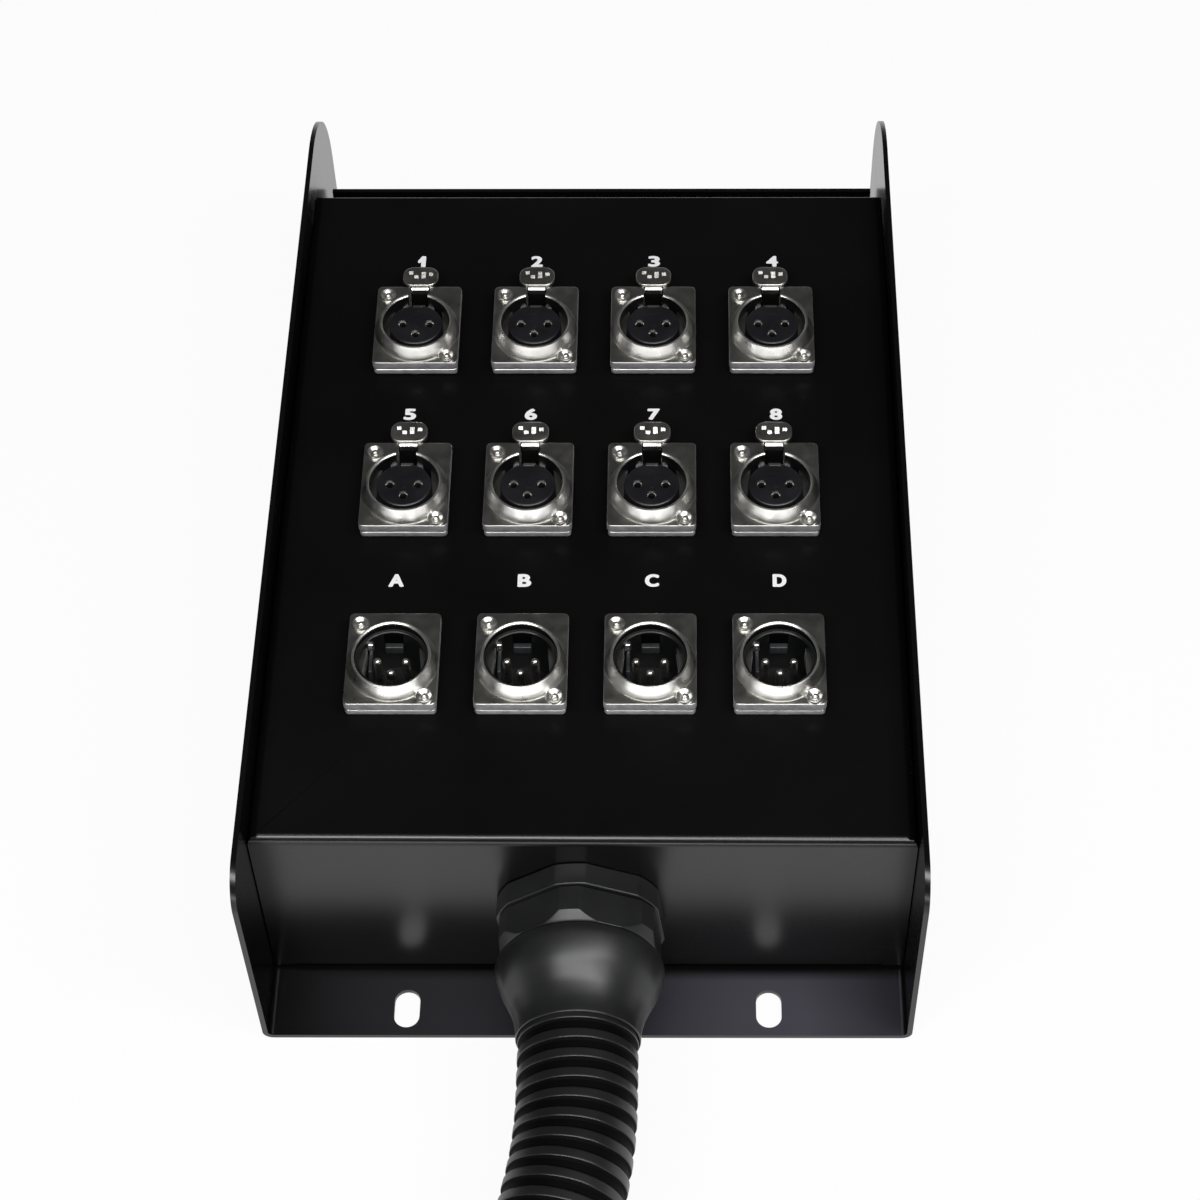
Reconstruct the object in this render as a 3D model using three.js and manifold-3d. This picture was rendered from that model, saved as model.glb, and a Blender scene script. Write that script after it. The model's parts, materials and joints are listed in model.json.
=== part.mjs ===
// A stage box snake: a black folded steel box with eight latching sockets and four plugs
// for microphone cables on top, between two side wings, and a ribbed hose at the front
// that carries the multicore cable away to its own connector.
// Millimetres, +Z up. The origin is the middle of the tray's footprint, on the floor.
// The hose leaves the front, which faces -Y.

import * as THREE from "three";
import { mergeVertices } from "three/addons/utils/BufferGeometryUtils.js";
import Module from "manifold-3d";

const wasm = await Module();
wasm.setup();

// Gaps and cuts that the whole part shares
const seatGap = 0.3; // between two pieces that rest on each other
const overrun = 1; // how far a cutting shape runs past what it cuts
const weld = 1e-4; // points closer than this are one point

// How finely round shapes are divided
const cornerSteps = 3;
const bendSteps = 5;
const wingSteps = 7;
const latheSteps = 20;
const collarSteps = 20;
const smallHoleSteps = 8;
const glandSteps = 30;

// The folded tray that carries everything
const tray = {
  length: 315,
  width: 185.5,
  sheet: 1.5,
  bendRadius: 1.5,
  wingHeight: 78.5,
  wingFrontRadius: 11,
  wingRearRadius: 35,
  wingFootRadius: 2,
  rearWallSetback: 17.4,
  rearWallHeight: 45.1,
  rearWallSideGap: 1.5,
  slotLength: 12.3,
  slotWidth: 7.3,
  slotSpacing: 104,
  slotSetback: 8.7,
};

// The folded cover that carries the connectors
const cover = {
  sheet: 1.5,
  bendRadius: 1.2,
  frontSetback: 22.4,
  length: 246.3,
  top: 68.5,
  endGap: 2.1,
  reliefLength: 3,
  cutoutClearance: 0.5,
};

// The grid of connectors
const grid = {
  columnPitch: 36.2,
  rowPitch: 64,
  middleRowSetback: 143.6,
  columnShares: [-1.5, -0.5, 0.5, 1.5],
};

// The flange that each connector has in common
const flange = {
  width: 26,
  depth: 31,
  cornerRadius: 2,
  lowerInset: 0.6,
  lowerThickness: 2.3,
  upperThickness: 3,
};

// The round body of each connector, set towards the front of its flange
const barrel = {
  setForward: 2.5,
  radius: 11.7,
  footRadius: 12.7,
  rimRound: 0.7,
  collarHeight: 4.2,
  bodyRadius: 12,
  depth: 14,
  floor: 1.2,
};

// The socket's mouth, insert and contacts
const socket = {
  mouthRadius: 10.45,
  coreRadius: 8.1,
  footHeight: 2.4,
  faceSetback: 0.8,
  contactRadius: 1.3,
  contactDepth: 8,
  contactCircleRadius: 4.3,
  keyWidth: 3.4,
  keyHeight: 1.4,
};

// The plug's mouth, cup and pins
const plug = {
  mouthRadius: 11.2,
  cupRadius: 9.6,
  cupSetback: 0.8,
  cupFloor: 4,
  pinRadius: 1.2,
  pinSetback: 3,
  pinCircleRadius: 3.96,
  keyWidth: 5,
  keyDepth: 0.7,
};

// The sprung push tab that frees a plug from its socket
const latch = {
  channelWidth: 6,
  channelDepth: 4.2,
  sideClearance: 0.35,
  footClearance: 1.2,
  strip: 1.1,
  hookReach: 0.4,
  hookHeight: 1.6,
  hookLength: 1.6,
  tabGap: 0.5,
  tabLength: 6.6,
  tabWidth: 11,
  tabThickness: 1.8,
  tabRise: 0.8,
  tabRadius: 2,
  neckLength: 1.4,
};

// The cable gland at the front, measured outwards from the cover's front face
const gland = {
  sideOffset: -1.2,
  height: 34,
  lockNutFlats: 45.4,
  lockNutRadius: 24.1,
  lockNutLength: 6.4,
  bodyFlats: 43.2,
  bodyRadius: 23.5,
  bodyHexLength: 10.3,
  chamfer: 1.7,
  chamferLength: 2.8,
  edge: 0.4,
  hexTurn: -24,
  threadRadius: 15,
  threadClearance: 0.3,
  boreRadius: 11,
  innerNutFlats: 38,
  innerNutRadius: 21.2,
  innerNutLength: 5,
  threadEndLength: 3,
  neckRadius: 17.4,
  neckLength: 9.9,
  domeRootRadius: 22,
  domeRadius: 23.4,
  domeRootLength: 2,
  domeShoulderLength: 7.4,
  domeWaistLength: 16.4,
  domeWaistRadius: 18.3,
  domeLength: 24.9,
  lipRadius: 17.3,
  lipRound: 0.6,
};

// The ribbed hose
const hose = {
  radius: 16.5,
  valleyRadius: 14.8,
  boreRadius: 12.2,
  ribPitch: 5.9,
  ribs: 35,
  sides: 8,
  boreEvery: 5,
  socketClearance: 0.3,
  straightLength: 80,
  bendRadius: 140,
  turn: 0.2,
};

// The sleeve on the far end of the hose
const sleeve = {
  radius: 18.6,
  overlap: 14,
  wall: 4,
  taperLength: 9,
  noseRadius: 11,
  rest: 0.1,
};

// The multicore cable and its store of turns
const cable = {
  radius: 8,
  floorRest: 1.5,
  leadBendRadius: 72,
  leadStraight: 12,
  sides: 10,
  stepLength: 18,
};
const coil = {
  turnGap: 0.5,
  outerRadius: 127.5,
  turns: 7.54,
  layers: 2,
  stepsPerTurn: 24,
  sides: 6,
  climbShare: 0.25,
};
const tie = {
  width: 12,
  thickness: 1.2,
  slack: 0.3,
  cornerRadius: 7,
  angles: [70, 250],
};

// The multipin connector on the cable's far end
const multipin = {
  radius: 15,
  barrelLength: 42,
  gripLength: 26,
  gripRadius: 13,
  bootLength: 22,
  bootRadius: 9.6,
  mouthRadius: 12.6,
  mouthDepth: 14,
  insertRadius: 10.8,
  insertFoot: 3,
  faceSetback: 1,
  socketDepth: 10,
  tailStraight: 38,
  tailBendRadius: 82,
  tailRun: 24,
};

// Materials, by colour, roughness and metalness
const looks = {
  steel: { color: 0x101012, roughness: 0.42, metalness: 0.1 },
  nickel: { color: 0x9a9a94, roughness: 0.34, metalness: 0.9 },
  tab: { color: 0x8e8e88, roughness: 0.4, metalness: 0.85 },
  plastic: { color: 0x17171a, roughness: 0.5, metalness: 0 },
  gland: { color: 0x1c1c1e, roughness: 0.38, metalness: 0 },
  hose: { color: 0x161617, roughness: 0.45, metalness: 0 },
  cable: { color: 0x19191a, roughness: 0.6, metalness: 0 },
  strap: { color: 0x222224, roughness: 0.9, metalness: 0 },
};

// Axis frames that lay a flat outline into the part
const acrossX = new THREE.Matrix4().makeBasis(
  new THREE.Vector3(0, 1, 0),
  new THREE.Vector3(0, 0, 1),
  new THREE.Vector3(1, 0, 0),
);
const alongMinusY = new THREE.Matrix4().makeBasis(
  new THREE.Vector3(1, 0, 0),
  new THREE.Vector3(0, 0, 1),
  new THREE.Vector3(0, -1, 0),
);

// Sizes worked out from the ones above
const trayBend = tray.bendRadius + tray.sheet;
const trayFront = -tray.length / 2;
const trayRear = tray.length / 2;
const trayInside = tray.width / 2 - tray.sheet;
const coverBend = cover.bendRadius + cover.sheet;
const coverWidth = 2 * (trayInside - seatGap);
const coverFront = trayFront + cover.frontSetback;
const coverRear = coverFront + cover.length;
const flangeTop = seatGap + flange.lowerThickness + flange.upperThickness;
const collarTop = flangeTop + barrel.collarHeight;
const barrelFloorTop = barrel.floor - barrel.depth;
const turnPitch = 2 * cable.radius + coil.turnGap;
const layerTurns = coil.turns / coil.layers;
const coilInnerRadius = coil.outerRadius - turnPitch * layerTurns;
const cableFloor = cable.radius + cable.floorRest;

// Solids and meshes
function solidOf(geometry) {
  const bare = geometry.index ? geometry.toNonIndexed() : geometry.clone();
  bare.deleteAttribute("normal");
  bare.deleteAttribute("uv");
  const merged = mergeVertices(bare, weld);
  const index = merged.index.array;
  const kept = [];
  for (let i = 0; i < index.length; i += 3) {
    const [a, b, c] = [index[i], index[i + 1], index[i + 2]];
    if (a !== b && b !== c && c !== a) kept.push(a, b, c);
  }
  const mesh = new wasm.Mesh({
    numProp: 3,
    vertProperties: new Float32Array(merged.attributes.position.array),
    triVerts: new Uint32Array(kept),
  });
  return new wasm.Manifold(mesh);
}

function geometryOf(solid) {
  const mesh = solid.getMesh();
  const stride = mesh.numProp;
  const positions = new Float32Array(mesh.numVert * 3);
  for (let i = 0; i < mesh.numVert; i++) {
    for (let k = 0; k < 3; k++) positions[i * 3 + k] = mesh.vertProperties[i * stride + k];
  }
  const shared = new THREE.BufferGeometry();
  shared.setAttribute("position", new THREE.BufferAttribute(positions, 3));
  shared.setIndex(new THREE.BufferAttribute(new Uint32Array(mesh.triVerts), 1));
  const geometry = shared.toNonIndexed();
  geometry.computeVertexNormals();
  return geometry;
}

function meshOf(name, solid, look) {
  const geometry = solid.isBufferGeometry ? solid : geometryOf(solid);
  const mesh = new THREE.Mesh(geometry, new THREE.MeshStandardMaterial(look));
  mesh.name = name;
  return mesh;
}

function extrude(shape, depth, steps = cornerSteps) {
  return new THREE.ExtrudeGeometry(shape, { depth, bevelEnabled: false, curveSegments: steps });
}

function block(x0, x1, y0, y1, z0, z1) {
  const geometry = new THREE.BoxGeometry(x1 - x0, y1 - y0, z1 - z0);
  geometry.translate((x0 + x1) / 2, (y0 + y1) / 2, (z0 + z1) / 2);
  return solidOf(geometry);
}

// A turned solid about the Z axis, from [radius, height] points that close on themselves
function turned(points, steps = latheSteps) {
  const outline = points.map(([r, z]) => new THREE.Vector2(r, z));
  outline.push(outline[0].clone());
  const geometry = new THREE.LatheGeometry(outline, steps);
  geometry.rotateX(Math.PI / 2);
  const solid = solidOf(geometry);
  if (solid.volume() > 0) return solid;
  const back = new THREE.LatheGeometry(outline.reverse(), steps);
  back.rotateX(Math.PI / 2);
  return solidOf(back);
}

function rod(radius, z0, z1, x = 0, y = 0, steps = latheSteps) {
  const geometry = new THREE.CylinderGeometry(radius, radius, z1 - z0, steps);
  geometry.rotateX(Math.PI / 2);
  geometry.translate(x, y, (z0 + z1) / 2);
  return solidOf(geometry);
}

function roundedPlate(width, depth, radius, z0, z1, x = 0, y = 0) {
  const [w, d] = [width / 2, depth / 2];
  const shape = new THREE.Shape();
  shape.moveTo(-w + radius, -d);
  shape.lineTo(w - radius, -d);
  shape.absarc(w - radius, -d + radius, radius, -Math.PI / 2, 0);
  shape.lineTo(w, d - radius);
  shape.absarc(w - radius, d - radius, radius, 0, Math.PI / 2);
  shape.lineTo(-w + radius, d);
  shape.absarc(-w + radius, d - radius, radius, Math.PI / 2, Math.PI);
  shape.lineTo(-w, -d + radius);
  shape.absarc(-w + radius, -d + radius, radius, Math.PI, Math.PI * 1.5);
  const geometry = extrude(shape, z1 - z0);
  geometry.translate(x, y, z0);
  return solidOf(geometry);
}

// The outline of a sheet folded up at both ends, open at the top
function channelOutline(halfWidth, height, sheet, bend) {
  const shape = new THREE.Shape();
  const inner = bend - sheet;
  shape.moveTo(-halfWidth, height);
  shape.lineTo(-halfWidth, bend);
  shape.absarc(-halfWidth + bend, bend, bend, Math.PI, Math.PI * 1.5);
  shape.lineTo(halfWidth - bend, 0);
  shape.absarc(halfWidth - bend, bend, bend, -Math.PI / 2, 0);
  shape.lineTo(halfWidth, height);
  shape.lineTo(halfWidth - sheet, height);
  shape.lineTo(halfWidth - sheet, bend);
  shape.absarc(halfWidth - bend, bend, inner, 0, -Math.PI / 2, true);
  shape.lineTo(-halfWidth + bend, sheet);
  shape.absarc(-halfWidth + bend, bend, inner, -Math.PI / 2, -Math.PI, true);
  shape.lineTo(-halfWidth + sheet, height);
  return shape;
}

// The side view of a wing: a tight round at the front and a long one at the rear
function wingOutline() {
  const foot = tray.wingFootRadius;
  const [front, rear] = [tray.wingFrontRadius, tray.wingRearRadius];
  const shape = new THREE.Shape();
  shape.moveTo(trayFront, 0);
  shape.lineTo(trayRear - foot, 0);
  shape.absarc(trayRear - foot, foot, foot, -Math.PI / 2, 0);
  shape.lineTo(trayRear, tray.wingHeight - rear);
  shape.absarc(trayRear - rear, tray.wingHeight - rear, rear, 0, Math.PI / 2);
  shape.lineTo(trayFront + front, tray.wingHeight);
  shape.absarc(trayFront + front, tray.wingHeight - front, front, Math.PI / 2, Math.PI);
  return shape;
}

// The wall folded up at the rear of the tray, from the floor it grows out of
function rearWallOutline() {
  const outside = trayRear - tray.rearWallSetback;
  const inside = outside - tray.sheet;
  const start = outside - trayBend;
  const shape = new THREE.Shape();
  shape.moveTo(start - trayBend, 0);
  shape.lineTo(start, 0);
  shape.absarc(start, trayBend, trayBend, -Math.PI / 2, 0);
  shape.lineTo(outside, tray.rearWallHeight);
  shape.lineTo(inside, tray.rearWallHeight);
  shape.lineTo(inside, trayBend);
  shape.absarc(start, trayBend, tray.bendRadius, 0, -Math.PI / 2, true);
  shape.lineTo(start - trayBend, tray.sheet);
  return shape;
}

function slotCut(x) {
  const y = trayFront + tray.slotSetback;
  const round = tray.slotWidth / 2;
  return roundedPlate(tray.slotWidth, tray.slotLength, round, -overrun, tray.sheet + overrun, x, y);
}

function makeTray() {
  const section = channelOutline(tray.width / 2, tray.wingHeight, tray.sheet, trayBend);
  const channel = extrude(section, tray.length, bendSteps);
  channel.applyMatrix4(alongMinusY);
  channel.translate(0, trayRear, 0);
  const side = extrude(wingOutline(), tray.width + 2 * overrun, wingSteps);
  side.applyMatrix4(acrossX);
  side.translate(-tray.width / 2 - overrun, 0, 0);
  const wallHalf = trayInside - tray.rearWallSideGap;
  const wall = extrude(rearWallOutline(), 2 * wallHalf, bendSteps);
  wall.applyMatrix4(acrossX);
  wall.translate(-wallHalf, 0, 0);
  const floorEnd = trayRear - tray.rearWallSetback - trayBend;
  const behind = block(-trayInside, trayInside, floorEnd, trayRear + overrun, -overrun, trayBend);
  return solidOf(channel)
    .intersect(solidOf(side))
    .subtract(behind)
    .add(solidOf(wall))
    .subtract(slotCut(-tray.slotSpacing / 2))
    .subtract(slotCut(tray.slotSpacing / 2));
}

// The outline of the cover's skin seen along one axis, closed flat at its foot
function hoodOutline(start, end, foot, top, round) {
  const shape = new THREE.Shape();
  shape.moveTo(start, foot);
  shape.lineTo(end, foot);
  shape.lineTo(end, top - round);
  shape.absarc(end - round, top - round, round, 0, Math.PI / 2);
  shape.lineTo(start + round, top);
  shape.absarc(start + round, top - round, round, Math.PI / 2, Math.PI);
  return shape;
}

function hood(inset, foot) {
  const round = coverBend - inset;
  const halfWidth = coverWidth / 2 - inset;
  const top = cover.top - inset;
  const [front, rear] = [coverFront + inset, coverRear - inset];
  const across = 2 * halfWidth + 2 * overrun;
  const sideView = extrude(hoodOutline(front, rear, foot, top, round), across, bendSteps);
  sideView.applyMatrix4(acrossX);
  sideView.translate(-halfWidth - overrun, 0, 0);
  const along = rear - front + 2 * overrun;
  const endView = extrude(hoodOutline(-halfWidth, halfWidth, foot, top, round), along, bendSteps);
  endView.applyMatrix4(alongMinusY);
  endView.translate(0, rear + overrun, 0);
  return solidOf(sideView).intersect(solidOf(endView));
}

function columnPlace(column) {
  return grid.columnShares[column] * grid.columnPitch;
}

function rowPlace(row) {
  return trayFront + grid.middleRowSetback + (1 - row) * grid.rowPitch;
}

function makeCover() {
  const foot = trayBend;
  let solid = hood(0, foot).subtract(hood(cover.sheet, foot - overrun));
  const open = coverWidth / 2 - coverBend - cover.reliefLength;
  const endFoot = tray.sheet + cover.endGap;
  for (const [y0, y1] of [
    [coverFront - overrun, coverFront + cover.sheet + overrun],
    [coverRear - cover.sheet - overrun, coverRear + overrun],
  ]) {
    solid = solid.subtract(block(-open, open, y0, y1, foot - overrun, endFoot));
  }
  const cutout = barrel.bodyRadius + cover.cutoutClearance;
  for (let row = 0; row < 3; row++) {
    for (let column = 0; column < grid.columnShares.length; column++) {
      const y = rowPlace(row) - barrel.setForward;
      const z0 = cover.top - cover.sheet - overrun;
      solid = solid.subtract(rod(cutout, z0, cover.top + overrun, columnPlace(column), y));
    }
  }
  const hole = rod(gland.threadRadius + gland.threadClearance, -overrun, cover.sheet + overrun);
  const bore = geometryOf(hole);
  bore.rotateX(-Math.PI / 2);
  bore.translate(gland.sideOffset, coverFront, gland.height);
  return solid.subtract(solidOf(bore));
}

// The flange and barrel that every connector has, in its own frame: z is 0 on the panel
function connectorShell(mouthRadius) {
  const mid = seatGap + flange.lowerThickness;
  const inset = 2 * flange.lowerInset;
  const lower = roundedPlate(
    flange.width - inset,
    flange.depth - inset,
    flange.cornerRadius,
    seatGap,
    mid,
  );
  const upper = roundedPlate(flange.width, flange.depth, flange.cornerRadius, mid, flangeTop);
  const collar = turned(
    [
      [0, mid],
      [barrel.footRadius, mid],
      [barrel.footRadius, flangeTop],
      [barrel.radius, collarTop - barrel.rimRound],
      [barrel.radius - barrel.rimRound, collarTop],
      [0, collarTop],
    ],
    collarSteps,
  ).translate([0, -barrel.setForward, 0]);
  const body = rod(barrel.bodyRadius, -barrel.depth, mid, 0, -barrel.setForward);
  const boreTop = collarTop + overrun;
  const bore = rod(mouthRadius, barrelFloorTop, boreTop, 0, -barrel.setForward, collarSteps);
  return lower.add(upper).add(collar).add(body).subtract(bore);
}

function makeSocketShell() {
  const half = latch.channelWidth / 2;
  const floor = flangeTop - latch.channelDepth;
  const rear = flange.depth / 2 + overrun;
  const channel = block(-half, half, -barrel.setForward, rear, floor, collarTop + overrun);
  return connectorShell(socket.mouthRadius).subtract(channel);
}

function makePlugShell() {
  return connectorShell(plug.mouthRadius);
}

function makeSocketInsert() {
  const foot = barrelFloorTop + seatGap;
  const face = collarTop - socket.faceSetback;
  const footRadius = socket.mouthRadius - seatGap;
  const y = -barrel.setForward;
  let solid = rod(footRadius, foot, foot + socket.footHeight, 0, y, collarSteps).add(
    rod(socket.coreRadius, foot, face, 0, y),
  );
  for (const angle of [0, Math.PI, -Math.PI / 2]) {
    const [cx, cy] = [Math.cos(angle), Math.sin(angle)].map((v) => v * socket.contactCircleRadius);
    const z0 = face - socket.contactDepth;
    solid = solid.subtract(
      rod(socket.contactRadius, z0, face + overrun, cx, cy + y, smallHoleSteps),
    );
  }
  const keyHalf = socket.keyWidth / 2;
  const keyRear = y + socket.coreRadius + overrun;
  const keyFront = y + socket.coreRadius - socket.keyHeight;
  return solid.subtract(block(-keyHalf, keyHalf, keyFront, keyRear, face - socket.keyHeight, face + overrun));
}

function makePlugInsert() {
  const foot = barrelFloorTop + seatGap;
  const top = collarTop - plug.cupSetback;
  const outside = plug.mouthRadius - seatGap;
  const floorTop = foot + plug.cupFloor;
  const y = -barrel.setForward;
  const keyHalf = plug.keyWidth / 2;
  const keyRear = y + plug.cupRadius + plug.keyDepth;
  let solid = rod(outside, foot, top, 0, y, collarSteps)
    .subtract(rod(plug.cupRadius, floorTop, top + overrun, 0, y, collarSteps))
    .subtract(block(-keyHalf, keyHalf, y, keyRear, floorTop, top + overrun));
  for (const angle of [0, Math.PI, -Math.PI / 2]) {
    const [cx, cy] = [Math.cos(angle), Math.sin(angle)].map((v) => v * plug.pinCircleRadius);
    const tip = collarTop - plug.pinSetback;
    solid = solid.add(rod(plug.pinRadius, foot, tip, cx, cy + y, smallHoleSteps));
  }
  return solid;
}

// The push tab: a strip in the flange's channel, a hook at the mouth and a tab behind
function makeLatch() {
  const stripHalf = latch.channelWidth / 2 - latch.sideClearance;
  const stripFoot = flangeTop - latch.channelDepth + latch.footClearance;
  const stripTop = stripFoot + latch.strip;
  const tabTop = flangeTop + latch.tabRise;
  const tabFoot = tabTop - latch.tabThickness;
  const edge = flange.depth / 2 + latch.tabGap;
  const mouth = -barrel.setForward + socket.mouthRadius;
  const hookStart = mouth - latch.hookReach;
  const side = new THREE.Shape();
  side.moveTo(hookStart, stripFoot);
  side.lineTo(edge - latch.neckLength, stripFoot);
  side.lineTo(edge, tabFoot);
  side.lineTo(edge + latch.tabRadius, tabFoot);
  side.lineTo(edge + latch.tabRadius, tabTop);
  side.lineTo(edge - latch.neckLength, tabTop);
  side.lineTo(edge - latch.neckLength - latch.strip / 2, stripTop);
  side.lineTo(hookStart + latch.hookLength, stripTop);
  side.lineTo(hookStart + latch.hookLength / 2, stripTop + latch.hookHeight);
  side.lineTo(hookStart, stripTop + latch.hookHeight);
  const strip = extrude(side, 2 * stripHalf);
  strip.applyMatrix4(acrossX);
  strip.translate(-stripHalf, 0, 0);
  const middle = edge + latch.tabLength / 2;
  const tab = roundedPlate(latch.tabWidth, latch.tabLength, latch.tabRadius, tabFoot, tabTop, 0, middle);
  return solidOf(strip).add(tab);
}

// A hexagonal ring with its corners turned down to a radius, and each end turned down
// further by a depth over a length
function hexRing(flats, radius, length, bore, rear, front) {
  const corner = flats / 2 / Math.cos(Math.PI / 6);
  const shape = new THREE.Shape();
  for (let i = 0; i < 6; i++) {
    const angle = (i * Math.PI) / 3 + (gland.hexTurn * Math.PI) / 180;
    const [x, y] = [corner * Math.cos(angle), corner * Math.sin(angle)];
    if (i === 0) shape.moveTo(x, y);
    else shape.lineTo(x, y);
  }
  const envelope = turned(
    [
      [0, 0],
      [radius - rear.depth, 0],
      [radius, rear.length],
      [radius, length - front.length],
      [radius - front.depth, length],
      [0, length],
    ],
    glandSteps,
  );
  const ring = solidOf(extrude(shape, length)).intersect(envelope);
  return bore ? ring.subtract(rod(bore, -overrun, length + overrun, 0, 0, glandSteps)) : ring;
}

// Stands a piece made along +Z at a distance out from the cover's front face
function glandGeometry(solid, distance) {
  const geometry = geometryOf(solid);
  geometry.translate(0, 0, distance);
  geometry.applyMatrix4(alongMinusY);
  geometry.translate(gland.sideOffset, coverFront, gland.height);
  return geometry;
}

const lockNutStart = seatGap;
const bodyHexStart = lockNutStart + gland.lockNutLength + seatGap;
const neckStart = bodyHexStart + gland.bodyHexLength;
const smallEdge = { depth: gland.edge, length: gland.edge };
const neckEnd = neckStart + gland.neckLength;
const domeEnd = neckStart + seatGap + gland.domeLength;
const hoseStart = neckEnd + seatGap;

function makeLockNut() {
  const bore = gland.threadRadius + gland.threadClearance;
  return hexRing(gland.lockNutFlats, gland.lockNutRadius, gland.lockNutLength, bore, smallEdge, smallEdge);
}

function makeInnerNut() {
  const bore = gland.threadRadius + gland.threadClearance;
  return hexRing(gland.innerNutFlats, gland.innerNutRadius, gland.innerNutLength, bore, smallEdge, smallEdge);
}

function makeGlandBody() {
  const inside = cover.sheet + seatGap + gland.innerNutLength + gland.threadEndLength;
  const front = { depth: gland.chamfer, length: gland.chamferLength };
  const hex = geometryOf(hexRing(gland.bodyFlats, gland.bodyRadius, gland.bodyHexLength, 0, smallEdge, front));
  hex.translate(0, 0, bodyHexStart);
  const core = turned(
    [
      [0, -inside],
      [gland.threadRadius, -inside],
      [gland.threadRadius, neckStart - overrun],
      [gland.neckRadius, neckStart - overrun],
      [gland.neckRadius, neckEnd],
      [0, neckEnd],
    ],
    glandSteps,
  );
  const bore = rod(gland.boreRadius, -inside - overrun, neckEnd + overrun, 0, 0, glandSteps);
  return core.add(solidOf(hex)).subtract(bore);
}

function makeDome() {
  const start = neckStart + seatGap;
  const neckBore = gland.neckRadius + gland.threadClearance;
  const hoseBore = hose.radius + hose.socketClearance;
  const lip = gland.lipRound;
  return turned(
    [
      [neckBore, start],
      [gland.domeRootRadius - lip, start],
      [gland.domeRootRadius, start + lip],
      [gland.domeRadius, start + gland.domeRootLength],
      [gland.domeRadius, start + gland.domeRootLength + lip],
      [(gland.domeRadius * 2 + gland.domeWaistRadius) / 3, start + gland.domeShoulderLength + lip],
      [(gland.domeRadius + gland.domeWaistRadius) / 2, start + gland.domeWaistLength - 2 * lip],
      [gland.domeWaistRadius, start + gland.domeWaistLength + lip],
      [gland.lipRadius, domeEnd - 2 * lip],
      [gland.lipRadius, domeEnd - lip],
      [gland.lipRadius - lip, domeEnd],
      [hoseBore, domeEnd],
      [hoseBore, hoseStart - seatGap],
      [neckBore, hoseStart - seatGap],
    ],
    glandSteps,
  );
}

// Curves: straight runs and arcs joined smoothly, as points at even steps
function pathFrom(start, heading) {
  return { points: [start.clone()], at: start.clone(), heading: heading.clone().normalize() };
}

function runStraight(path, length, steps) {
  for (let i = 1; i <= steps; i++) {
    path.points.push(path.at.clone().addScaledVector(path.heading, (length * i) / steps));
  }
  path.at.addScaledVector(path.heading, length);
}

// Turns the path by an angle towards a side that is square to its heading
function runArc(path, radius, angle, side, steps) {
  const toCentre = side.clone().addScaledVector(path.heading, -side.dot(path.heading)).normalize();
  const centre = path.at.clone().addScaledVector(toCentre, radius);
  const heading = path.heading.clone();
  for (let i = 1; i <= steps; i++) {
    const a = (angle * i) / steps;
    const point = centre.clone();
    point.addScaledVector(toCentre, -radius * Math.cos(a));
    point.addScaledVector(heading, radius * Math.sin(a));
    path.points.push(point);
  }
  path.at = path.points[path.points.length - 1].clone();
  path.heading = heading
    .clone()
    .multiplyScalar(Math.cos(angle))
    .addScaledVector(toCentre, Math.sin(angle))
    .normalize();
}

// Lowers the path by a height through two equal arcs
function runDrop(path, radius, height, steps) {
  const angle = Math.acos(1 - height / (2 * radius));
  runArc(path, radius, angle, new THREE.Vector3(0, 0, -1), steps);
  const up = new THREE.Vector3(0, 0, 1);
  runArc(path, radius, angle, up, steps);
}

function lengthOf(points) {
  let sum = 0;
  for (let i = 1; i < points.length; i++) sum += points[i].distanceTo(points[i - 1]);
  return sum;
}

// The same curve at even steps
function respaced(points, steps) {
  const curve = new THREE.CatmullRomCurve3(points, false, "centripetal");
  curve.arcLengthDivisions = 20 * points.length;
  return curve.getSpacedPoints(steps);
}

// Frames carried along a curve without twist
function framesAlong(points, endHeadings) {
  const tangents = points.map((_, i) => {
    const ahead = points[Math.min(i + 1, points.length - 1)];
    const behind = points[Math.max(i - 1, 0)];
    return ahead.clone().sub(behind).normalize();
  });
  if (endHeadings) {
    tangents[0] = endHeadings[0].clone().normalize();
    tangents[points.length - 1] = endHeadings[1].clone().normalize();
  }
  let normal = new THREE.Vector3(0, 0, 1);
  return points.map((point, i) => {
    const tangent = tangents[i];
    normal = normal.clone().addScaledVector(tangent, -normal.dot(tangent)).normalize();
    const side = new THREE.Vector3().crossVectors(tangent, normal);
    return { point, normal: normal.clone(), side };
  });
}

function ringPoints(frame, radius, sides) {
  const ring = [];
  for (let i = 0; i < sides; i++) {
    const angle = (2 * Math.PI * (i + 0.5)) / sides;
    const point = frame.point.clone();
    point.addScaledVector(frame.side, radius * Math.cos(angle));
    point.addScaledVector(frame.normal, radius * Math.sin(angle));
    ring.push(point);
  }
  return ring;
}

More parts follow.
